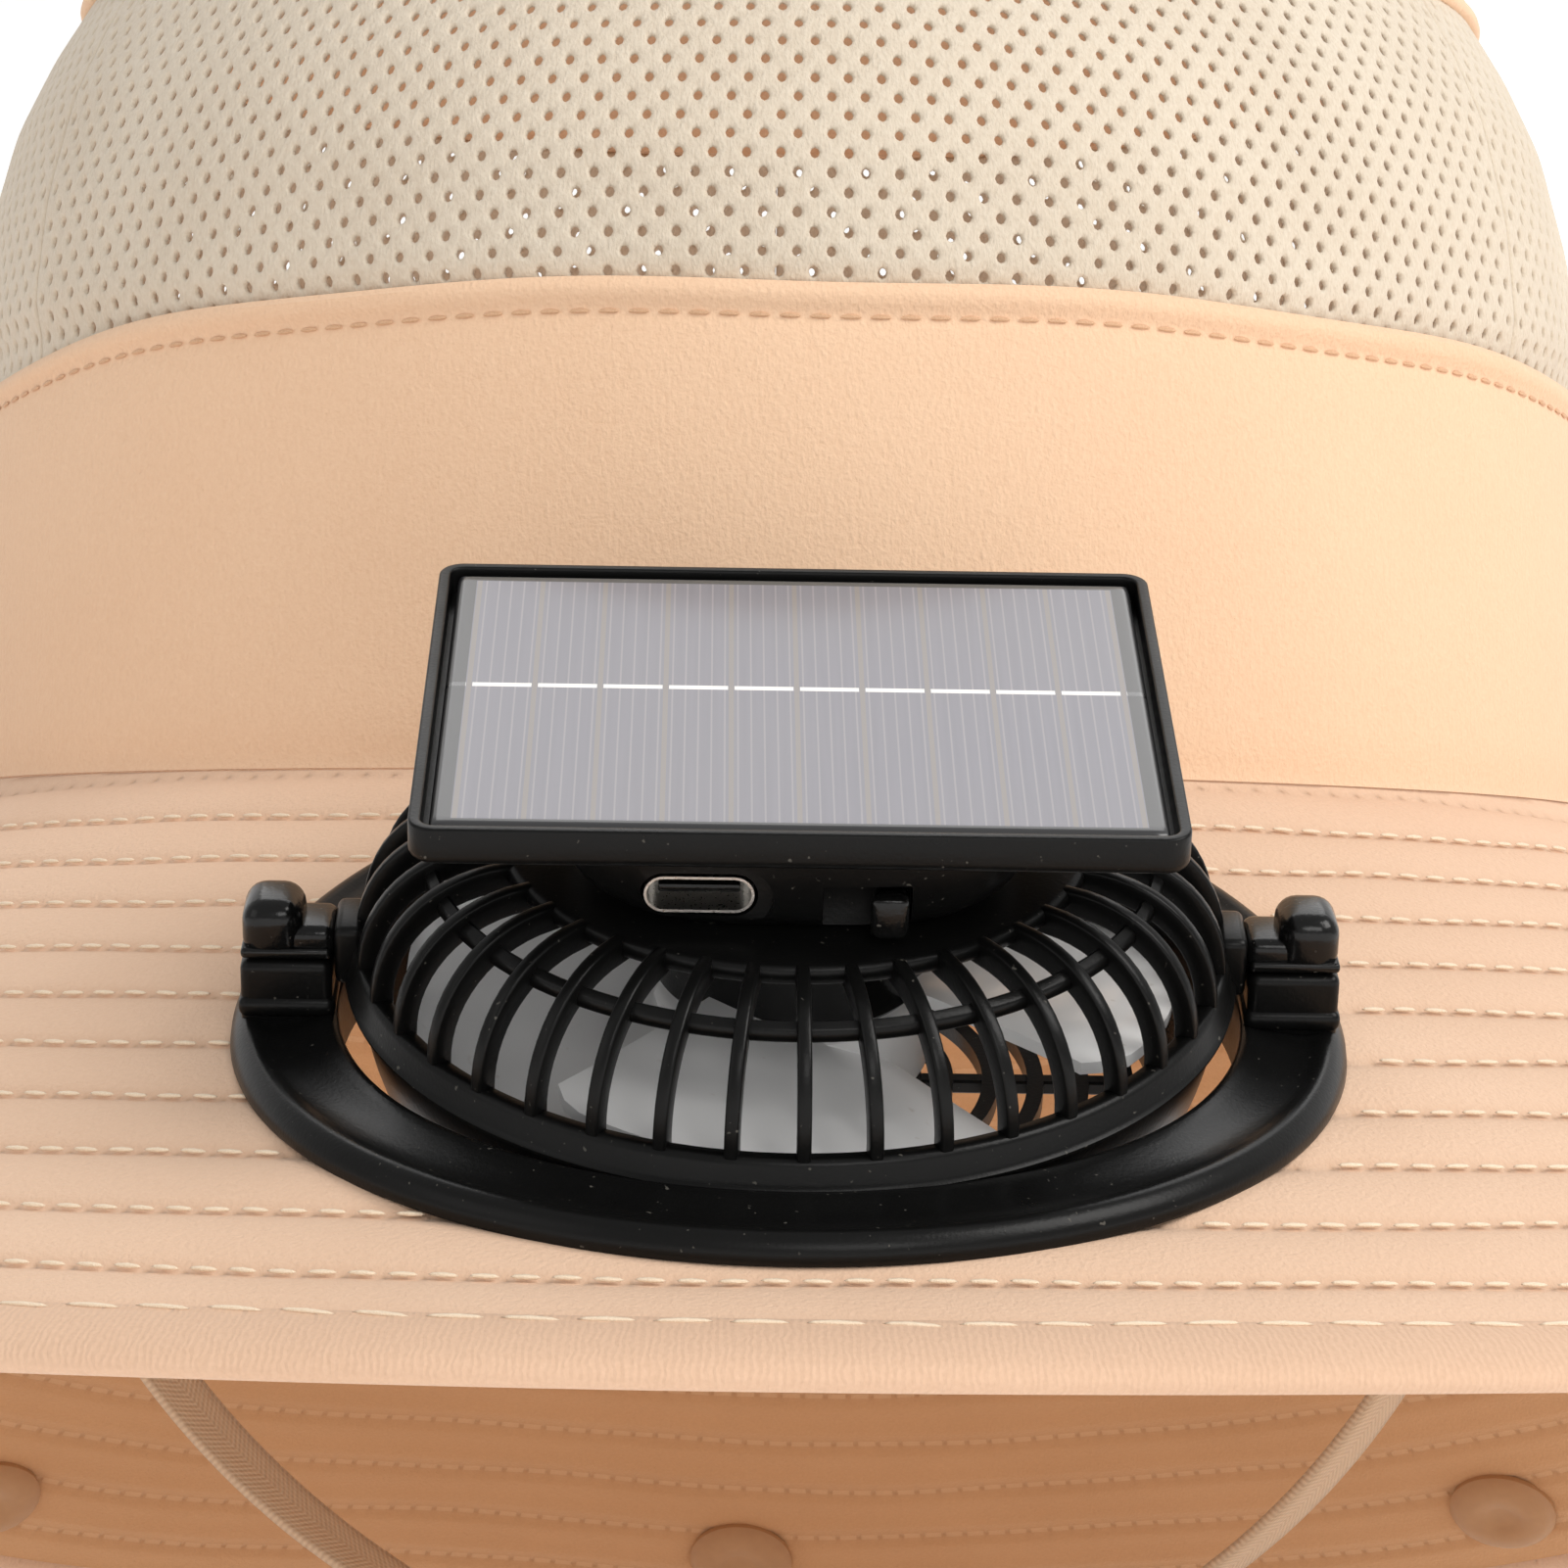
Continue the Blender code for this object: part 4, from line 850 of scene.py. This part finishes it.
# Clamp ring: the plain ring under the brim that grips the sleeve.
bm = turned([(46.5 * MM, -3.0 * MM), (46.5 * MM, -4.3 * MM), (46.1 * MM, -4.6 * MM), (40.3 * MM, -4.6 * MM),
             (40.0 * MM, -4.3 * MM), (40.0 * MM, -3.0 * MM)], 160)
droop(bm)
piece("clamp_ring_turned", bm, satin_black, "hat", seat, sharp=30, nodes=("clamp_ring",))


# Fan cover: rim, forty curved fins, middle ring and hub plate in one black moulding, with a lug and
# a pin at each side on which the whole fan tilts.
RIB_COUNT = 40
RIB_START = 1.0
CAGE_HEIGHT = 11.3 * MM
CAGE_RADIUS = 37.0 * MM
HUB_PLATE_RADIUS = 25.2 * MM
RIB_WIDTH = 1.15 * MM
RIB_DEPTH = 2.3 * MM
RIM_ABOVE_PIVOT = 0.9 * MM
fan_place = (seat @ Matrix.Translation((0, 0, PIVOT_HEIGHT)) @ Matrix.Rotation(math.radians(3.3), 4, "X")
             @ Matrix.Translation((0, 0, RIM_ABOVE_PIVOT)))


def cage_point(share, inside):
    """A point of a fin's outer edge, from the rim (0) to the hub plate (1), moved inside."""
    turn = math.radians(90 * share)
    power = 2 / 2.12
    breadth = CAGE_RADIUS - HUB_PLATE_RADIUS - inside * 0.8
    rise = CAGE_HEIGHT - inside
    return (HUB_PLATE_RADIUS + breadth * abs(math.cos(turn)) ** power, rise * abs(math.sin(turn)) ** power)


bm = bmesh.new()
steps = 14
outer = [cage_point(i / steps, 0.0) for i in range(steps + 1)]
inner = [cage_point(i / steps, RIB_DEPTH) for i in range(steps + 1)]
outer[0], inner[0] = (outer[0][0], -0.6 * MM), (inner[0][0], -0.6 * MM)
fin_end = HUB_PLATE_RADIUS - 1.2 * MM
outer[-1], inner[-1] = (fin_end, outer[-1][1]), (fin_end, inner[-1][1])
outer_verts = [bm.verts.new((x, -RIB_WIDTH / 2, z)) for x, z in outer]
inner_verts = [bm.verts.new((x, -RIB_WIDTH / 2, z)) for x, z in inner]
for i in range(steps):
    bm.faces.new((outer_verts[i], outer_verts[i + 1], inner_verts[i + 1], inner_verts[i]))
pushed = bmesh.ops.extrude_face_region(bm, geom=bm.faces[:])
moved = [part for part in pushed["geom"] if isinstance(part, bmesh.types.BMVert)]
bmesh.ops.translate(bm, vec=(0, RIB_WIDTH, 0), verts=moved)
bmesh.ops.recalc_face_normals(bm, faces=bm.faces)
long_edges = [edge for edge in bm.edges
              if abs(edge.verts[0].co.y - edge.verts[1].co.y) < 1e-7 and len(edge.link_faces) == 2
              and edge.link_faces[0].normal.dot(edge.link_faces[1].normal) < 0.3]
bmesh.ops.bevel(bm, geom=long_edges, offset=0.24 * MM, segments=2, profile=0.5, affect="EDGES", material=-1)
bmesh.ops.rotate(bm, matrix=Matrix.Rotation(math.radians(RIB_START), 3, "Z"), verts=bm.verts)
geometry = bm.verts[:] + bm.edges[:] + bm.faces[:]
bmesh.ops.spin(bm, geom=geometry, cent=(0, 0, 0), axis=(0, 0, 1), steps=RIB_COUNT - 1,
               angle=math.tau * (RIB_COUNT - 1) / RIB_COUNT, use_duplicate=True)
rim_side = [(36.15, 0.35), (36.6, 0.45), (37.0, 0.25), (37.2, -0.1), (37.55, -1.6), (37.75, -1.9),
            (37.95, -2.05), (37.9, -2.35),
            (37.6, -2.4), (36.1, -2.4), (35.9, -2.2), (35.2, 0.0), (35.5, 0.3)]
add_to(bm, turned([(r * MM, z * MM) for r, z in rim_side], 160))
ring_side = [(30.1, 8.1), (30.2, 9.2), (30.5, 9.35), (31.1, 9.05), (31.3, 8.8), (31.3, 8.0),
             (31.1, 7.8), (30.3, 7.9)]
add_to(bm, turned([(r * MM, z * MM) for r, z in ring_side], 128))
plate_side = [(0.0, 11.3), (24.6, 11.3), (25.1, 11.1), (25.3, 10.7), (25.2, 9.9), (24.9, 9.6), (0.0, 9.6)]
add_to(bm, turned([(r * MM, z * MM) for r, z in plate_side], 128))
for side in (-1, 1):
    add_to(bm, soft_block((2.6 * MM, 6.2 * MM, 5.4 * MM), (side * 37.4 * MM, 0, -0.6 * MM), 0.7 * MM, 3))
    pin = bmesh.new()
    bmesh.ops.create_cone(pin, cap_ends=True, segments=28, radius1=1.25 * MM,
                          radius2=1.25 * MM, depth=6.6 * MM)
    bmesh.ops.rotate(pin, matrix=Matrix.Rotation(math.radians(90), 3, "Y"), verts=pin.verts)
    bmesh.ops.translate(pin, vec=(side * 40.7 * MM, 0, -RIM_ABOVE_PIVOT), verts=pin.verts)
    add_to(bm, pin)
piece("fan_cage", bm, satin_black, "fan", fan_place, sharp=45, nodes=("fan_cover",))


# Fan bowl: the lower half of the housing, with rings and spokes in its floor that let the air out.
BOWL_DEPTH = 14.5
side = []
for i in range(13):
    share = i / 12
    side.append((36.6 - 3.6 * share ** 2, -2.6 - (BOWL_DEPTH - 2.6) * share))
wall_side = side + [(32.6, -14.5), (31.4, -14.5), (31.4, -13.0)]
wall_side += [(r - 1.6, z) for r, z in reversed(side) if z > -12.6]
bm = turned([(r * MM, z * MM) for r, z in wall_side], 128)
for i in range(5):
    r = 13.6 + 3.9 * i
    ring = [(r - 0.7, -13.0), (r + 0.7, -13.0), (r + 0.7, -14.5), (r - 0.7, -14.5)]
    add_to(bm, turned([(x * MM, z * MM) for x, z in ring], 96))
boss = [(0.0, -12.9), (11.4, -12.9), (11.6, -13.2), (11.6, -14.5), (0.0, -14.5)]
add_to(bm, turned([(x * MM, z * MM) for x, z in boss], 64))
for i in range(6):
    spoke = soft_block((22.0 * MM, 1.5 * MM, 1.3 * MM), (21.5 * MM, 0, -13.85 * MM), 0.2 * MM, 1)
    bmesh.ops.rotate(spoke, matrix=Matrix.Rotation(math.radians(60 * i), 3, "Z"), verts=spoke.verts)
    add_to(bm, spoke)
piece("fan_bowl_moulding", bm, satin_black, "fan", fan_place, sharp=35,
      nodes=("fan_bowl",))


# Motor: a black can under the hub plate with its shaft going down into the impeller.
can = [(0.0, 9.3), (11.2, 9.3), (11.6, 9.0), (11.6, -2.2), (11.3, -2.6), (10.2, -2.8), (0.75, -2.8),
       (0.75, -10.2), (0.0, -10.2)]
bm = turned([(r * MM, z * MM) for r, z in can], 96)
piece("motor_can", bm, gloss_black, "fan", fan_place, sharp=35, nodes=("motor",))


# Impeller: four broad twisted blades on a hub, moulded in pearl grey plastic with a soft gloss.
BLADE_COUNT = 4
BLADE_START = 93.0
IMPELLER_RADIUS = 32.7 * MM
pearl = Finish("pearl_plastic", {"Coat Weight": 0.4, "Coat Roughness": 0.15, "Specular IOR Level": 0.5})
swirl = noise(pearl, 9 * MM, 3.0)
flecks = noise(pearl, 2.6 * MM, 2.0)
dirt = pearl.node("MapRange", {}, {"Value": flecks, "From Min": 0.70, "From Max": 0.78})
pearl_colour = two_colours(pearl, swirl, (0.90, 0.90, 0.90, 1), (0.97, 0.965, 0.96, 1))
pearl.set("Base Color", two_colours(pearl, dirt * 0.5, pearl_colour, (0.36, 0.27, 0.16, 1)))
pearl.set("Roughness", 0.28 + swirl * 0.14)
bump(pearl, swirl, 0.05 * MM)
bm = turned([(1.1 * MM, -3.1 * MM), (11.4 * MM, -3.1 * MM), (12.0 * MM, -3.6 * MM), (12.0 * MM, -10.3 * MM),
             (11.5 * MM, -10.7 * MM), (1.1 * MM, -10.7 * MM)], 72)
for i in range(BLADE_COUNT):
    blade = bmesh.new()
    bmesh.ops.create_grid(blade, x_segments=12, y_segments=24, size=0.5)
    for vert in blade.verts:
        out = vert.co.x + 0.5
        round_ = vert.co.y + 0.5
        radius = 11.2 * MM + (IMPELLER_RADIUS - 11.2 * MM) * out
        spread = math.radians(80 + 4 * out)
        turn = math.radians(BLADE_START) + math.tau * i / BLADE_COUNT + spread * (round_ - 0.5)
        corner = min(round_, 1 - round_)
        radius -= 2.4 * MM * out ** 6 * max(0.0, 1 - corner / 0.10) ** 2
        height = -1.75 * MM - 8.8 * MM * round_ ** 1.5
        height = height + (1 - out) * 0.5 * MM
        height = height * (0.72 + 0.28 * out) - 0.6 * MM * (1 - out)
        vert.co = (radius * math.cos(turn), radius * math.sin(turn), height)
    bmesh.ops.recalc_face_normals(blade, faces=blade.faces)
    bmesh.ops.solidify(blade, geom=blade.faces[:], thickness=1.1 * MM)
    bmesh.ops.recalc_face_normals(blade, faces=blade.faces)
    add_to(bm, blade)
piece("impeller_blades", bm, pearl, "impeller", fan_place, sharp=40, nodes=("impeller",))


# Battery pod: the black housing between fan and panel, a square with round corners that widens
# upwards, with the charging socket, the switch slot and a hollow in its front right corner.
POD_LOW = 11.6
POD_HIGH = 19.7
POD_SIDE = [
    {"height": 0.00, "opened": 0.00},
    {"height": 0.06, "opened": 0.28},
    {"height": 0.16, "opened": 0.52},
    {"height": 0.30, "opened": 0.72},
    {"height": 0.45, "opened": 0.84},
    {"height": 0.70, "opened": 0.94},
    {"height": 1.00, "opened": 1.00},
]


def pod_outline(turn, width, depth):
    power = 2 / 3.6
    across = math.copysign(abs(math.cos(turn)) ** power, math.cos(turn)) * width / 2
    along = math.copysign(abs(math.sin(turn)) ** power, math.sin(turn)) * depth / 2
    return across * MM, along * MM


def pill(width, height, depth, centre, steps=12):
    """A bar with a long round-ended outline in XZ, running along Y."""
    reach = (width - height) / 2
    bm = bmesh.new()
    corners = []
    for side, start in ((1, -90), (-1, 90)):
        for i in range(steps + 1):
            turn = math.radians(start + 180 * i / steps)
            across = side * reach + math.cos(turn) * height / 2
            corners.append(bm.verts.new((across * MM, -depth / 2 * MM, math.sin(turn) * height / 2 * MM)))
    made = bmesh.ops.extrude_face_region(bm, geom=[bm.faces.new(corners)])
    moved = [part for part in made["geom"] if isinstance(part, bmesh.types.BMVert)]
    bmesh.ops.translate(bm, vec=(0, depth * MM, 0), verts=moved)
    bmesh.ops.translate(bm, vec=Vector(centre) * MM, verts=bm.verts)
    bmesh.ops.recalc_face_normals(bm, faces=bm.faces)
    return bm


def carve(bm, cutters):
    """Cut closed shapes out of a closed mesh."""
    blank = bpy.data.meshes.new("blank")
    bm.to_mesh(blank)
    bm.free()
    item = bpy.data.objects.new("blank", blank)
    bpy.context.scene.collection.objects.link(item)
    tools = []
    for cutter in cutters:
        mesh = bpy.data.meshes.new("cutter")
        cutter.to_mesh(mesh)
        cutter.free()
        tool = bpy.data.objects.new("cutter", mesh)
        bpy.context.scene.collection.objects.link(tool)
        step = item.modifiers.new("cut", "BOOLEAN")
        step.operation = "DIFFERENCE"
        step.solver = "EXACT"
        step.object = tool
        tools.append(tool)
    bpy.context.view_layer.update()
    seen = item.evaluated_get(bpy.context.evaluated_depsgraph_get())
    carved = bmesh.new()
    carved.from_mesh(bpy.data.meshes.new_from_object(seen))
    for made in [item] + tools:
        bpy.data.objects.remove(made)
    return carved


bm = bmesh.new()
loops = []
for row in POD_SIDE:
    ring = bmesh.ops.create_circle(bm, segments=112, radius=1.0, cap_ends=False)["verts"]
    width = 31.0 + 10.6 * row["opened"]
    depth = 37.2 + 5.2 * row["opened"]
    for vert in ring:
        across, along = pod_outline(math.atan2(vert.co.y, vert.co.x), width, depth)
        vert.co = (across, along, (POD_LOW + (POD_HIGH - POD_LOW) * row["height"]) * MM)
    loops.append(ring)
for below, above in zip(loops, loops[1:]):
    edges = [edge for edge in bm.edges if all(v in below or v in above for v in edge.verts)]
    bmesh.ops.bridge_loops(bm, edges=edges)
bm.faces.new(loops[0])
bm.faces.new(loops[-1])
bmesh.ops.recalc_face_normals(bm, faces=bm.faces)
front = -21.2
notch = bmesh.new()
bmesh.ops.create_cone(notch, cap_ends=True, segments=48, radius1=4.2 * MM, radius2=4.2 * MM, depth=12 * MM)
bmesh.ops.translate(notch, vec=(21.9 * MM, -18.2 * MM, 15.6 * MM), verts=notch.verts)
cutters = [
    pill(12.0, 6.0, 2.6, (-7.9, front, 14.9)),
    pill(9.5, 3.8, 14.6, (-7.9, front + 1.3, 14.9)),
    soft_block((7.2 * MM, 4.4 * MM, 4.6 * MM), (5.6 * MM, front * MM, 14.0 * MM), 0.3 * MM, 2),
    soft_block((0.35 * MM, 1.6 * MM, 1.9 * MM), (15.2 * MM, front * MM, 13.2 * MM), 0.1 * MM, 1),
    notch,
]
bm = carve(bm, cutters)
piece("battery_pod_shell", bm, satin_black, "fan", fan_place, sharp=32,
      nodes=("battery_pod",))


# Charging socket: a drawn steel shell in its oval recess, with the contact tongue inside.
steel = Finish("socket_steel", {"Metallic": 1.0, "Base Color": (0.62, 0.60, 0.57, 1)})
drawn = noise(steel, 0.2 * MM, 2.0, stretched(steel, (1.0, 0.2, 1.0)))
steel.set("Roughness", 0.20 + drawn * 0.2)
bump(steel, drawn, 0.02 * MM)
port_middle = front + 1.3 + 3.5
shell = carve(pill(8.9, 3.2, 7.0, (-7.9, port_middle, 14.9)),
              [pill(8.45, 2.75, 7.0, (-7.9, port_middle - 0.8, 14.9))])
piece("charging_shell", shell, steel, "fan", fan_place, sharp=40, nodes=("charging_port",))
tongue_centre = (-7.9 * MM, (front + 1.3 + 3.9) * MM, 14.9 * MM)
tongue = soft_block((6.6 * MM, 5.6 * MM, 0.7 * MM), tongue_centre, 0.15 * MM, 2)
piece("charging_tongue", tongue, gloss_black, "fan", fan_place)


# Switch knob: the small slider in its slot, with a rounded grip.
bm = soft_block((3.1 * MM, 2.9 * MM, 3.9 * MM), (7.4 * MM, (front + 0.45) * MM, 14.0 * MM), 0.75 * MM, 4)
piece("switch_slider", bm, gloss_black, "switch", fan_place, nodes=("switch_knob",))


# Solar tray: a shallow black tray with rounded corners, open at the top.
TRAY_WIDTH = 61.9
TRAY_DEPTH = 51.0
TRAY_TOP = 23.3
TRAY_HEIGHT = 3.3
bm = bmesh.new()
bmesh.ops.create_cube(bm, size=1.0)
bmesh.ops.scale(bm, vec=(TRAY_WIDTH * MM, TRAY_DEPTH * MM, TRAY_HEIGHT * MM), verts=bm.verts)
upright = [edge for edge in bm.edges if abs(edge.verts[0].co.z - edge.verts[1].co.z) > MM]
bmesh.ops.bevel(bm, geom=upright, offset=2.2 * MM, segments=8, profile=0.5, affect="EDGES", material=-1)
low_edges = [edge for edge in bm.edges if max(v.co.z for v in edge.verts) < -1 * MM]
bmesh.ops.bevel(bm, geom=low_edges, offset=0.9 * MM, segments=5, profile=0.5, affect="EDGES", material=-1)
top = max(bm.faces, key=lambda face: face.calc_center_median().z)
bmesh.ops.inset_region(bm, faces=[top], thickness=1.0 * MM, use_even_offset=True)
inside = bmesh.ops.extrude_face_region(bm, geom=[top])
moved = [part for part in inside["geom"] if isinstance(part, bmesh.types.BMVert)]
bmesh.ops.translate(bm, vec=(0, 0, -2.3 * MM), verts=moved)
bmesh.ops.delete(bm, geom=[top], context="FACES")
rim_edges = [edge for edge in bm.edges
             if len(edge.link_faces) == 2 and min(v.co.z for v in edge.verts) > 1.6 * MM
             and edge.link_faces[0].normal.dot(edge.link_faces[1].normal) < 0.5]
bmesh.ops.bevel(bm, geom=rim_edges, offset=0.22 * MM, segments=3, profile=0.5, affect="EDGES", material=-1)
bmesh.ops.recalc_face_normals(bm, faces=bm.faces)
bmesh.ops.translate(bm, vec=(0, 0, (TRAY_TOP - TRAY_HEIGHT / 2) * MM), verts=bm.verts)
piece("solar_tray_moulding", bm, satin_black, "fan", fan_place, sharp=35,
      nodes=("solar_tray",))


# Solar panel: ten narrow cells side by side on a board, joined by silver bus strips, under a poured
# layer of clear resin with a rounded edge.
PANEL_WIDTH = 58.7
PANEL_DEPTH = 47.8
CELL_PITCH = 5.46
cells = Finish("solar_cells", {"Coat Weight": 0.7, "Coat Roughness": 0.10, "Specular IOR Level": 0.5})
panel_axes = cells.tree.nodes.new("ShaderNodeSeparateXYZ")
cells.feed(panel_axes.inputs[0], cells.node("UVMap", {"uv_map": "panel"}))
panel_x = Wire(cells, panel_axes.outputs[0]) / MM
panel_y = Wire(cells, panel_axes.outputs[1]) / MM
cell_number = (panel_x + CELL_PITCH * 5) / CELL_PITCH
in_cell = abs(cell_number % 1.0 - 0.5)
gap = in_cell > 0.462
finger = abs((panel_x / 1.09) % 1.0 - 0.5) < 0.07
hue = noise(cells, 30 * MM, 1.0)
streak = noise(cells, 0.6 * MM, 2.0, stretched(cells, (1.0, 0.02, 0.02)))
# The cells' pale lavender-grey is partly their own colour and partly painted reflection of the bright room.
cell_colour_and_reflection = two_colours(cells, streak, (0.120, 0.115, 0.155, 1), (0.170, 0.162, 0.205, 1))
cell_colour_and_reflection = two_colours(cells, hue * 0.4, cell_colour_and_reflection, (0.19, 0.178, 0.172, 1))
cell_colour_and_reflection = two_colours(cells, finger * 0.45, cell_colour_and_reflection, (0.33, 0.31, 0.31, 1))
cell_colour_and_reflection = two_colours(cells, gap * 0.8, cell_colour_and_reflection, (0.21, 0.18, 0.155, 1))
bus = (abs(panel_y - 1.6) < 0.36) * (in_cell < 0.45)
cell_colour_and_reflection = two_colours(cells, bus, cell_colour_and_reflection, (0.86, 0.83, 0.78, 1))
# Round the cells the panel is painted near-black: painted shade for the dark that the rounded resin edge
# refracts.
refracted_dark_border = 1.0 - (abs(panel_x) < 27.6) * (abs(panel_y + 0.2) < 22.6)
cell_colour_and_reflection = two_colours(cells, refracted_dark_border, cell_colour_and_reflection, (0.016, 0.016, 0.018, 1))
cells.set("Base Color", cell_colour_and_reflection)
cells.set("Roughness", 0.45 - bus * 0.2)
bm = bmesh.new()
bmesh.ops.create_grid(bm, x_segments=40, y_segments=32, size=0.5)
layer = bm.loops.layers.uv.new("panel")
for vert in bm.verts:
    vert.co = (vert.co.x * PANEL_WIDTH * MM, vert.co.y * PANEL_DEPTH * MM, 0.0)
border = [edge for edge in bm.edges if len(edge.link_faces) == 1]
made = bmesh.ops.extrude_edge_only(bm, edges=border)
moved = [part for part in made["geom"] if isinstance(part, bmesh.types.BMVert)]
bmesh.ops.translate(bm, vec=(0, 0, -1.7 * MM), verts=moved)
border = [edge for edge in bm.edges if len(edge.link_faces) == 1]
bmesh.ops.contextual_create(bm, geom=border)
bmesh.ops.recalc_face_normals(bm, faces=bm.faces)
brink = [edge for edge in bm.edges if min(v.co.z for v in edge.verts) > -0.1 * MM
         and len(edge.link_faces) == 2 and edge.link_faces[0].normal.dot(edge.link_faces[1].normal) < 0.5]
bmesh.ops.bevel(bm, geom=brink, offset=0.8 * MM, segments=6, profile=0.5, affect="EDGES", material=-1)
for face in bm.faces:
    for loop in face.loops:
        loop[layer].uv = (loop.vert.co.x, loop.vert.co.y)
bmesh.ops.translate(bm, vec=(0, 0, (TRAY_TOP - 0.3) * MM), verts=bm.verts)
piece("solar_panel_cells", bm, cells, "fan", fan_place, sharp=50, nodes=("solar_panel",))
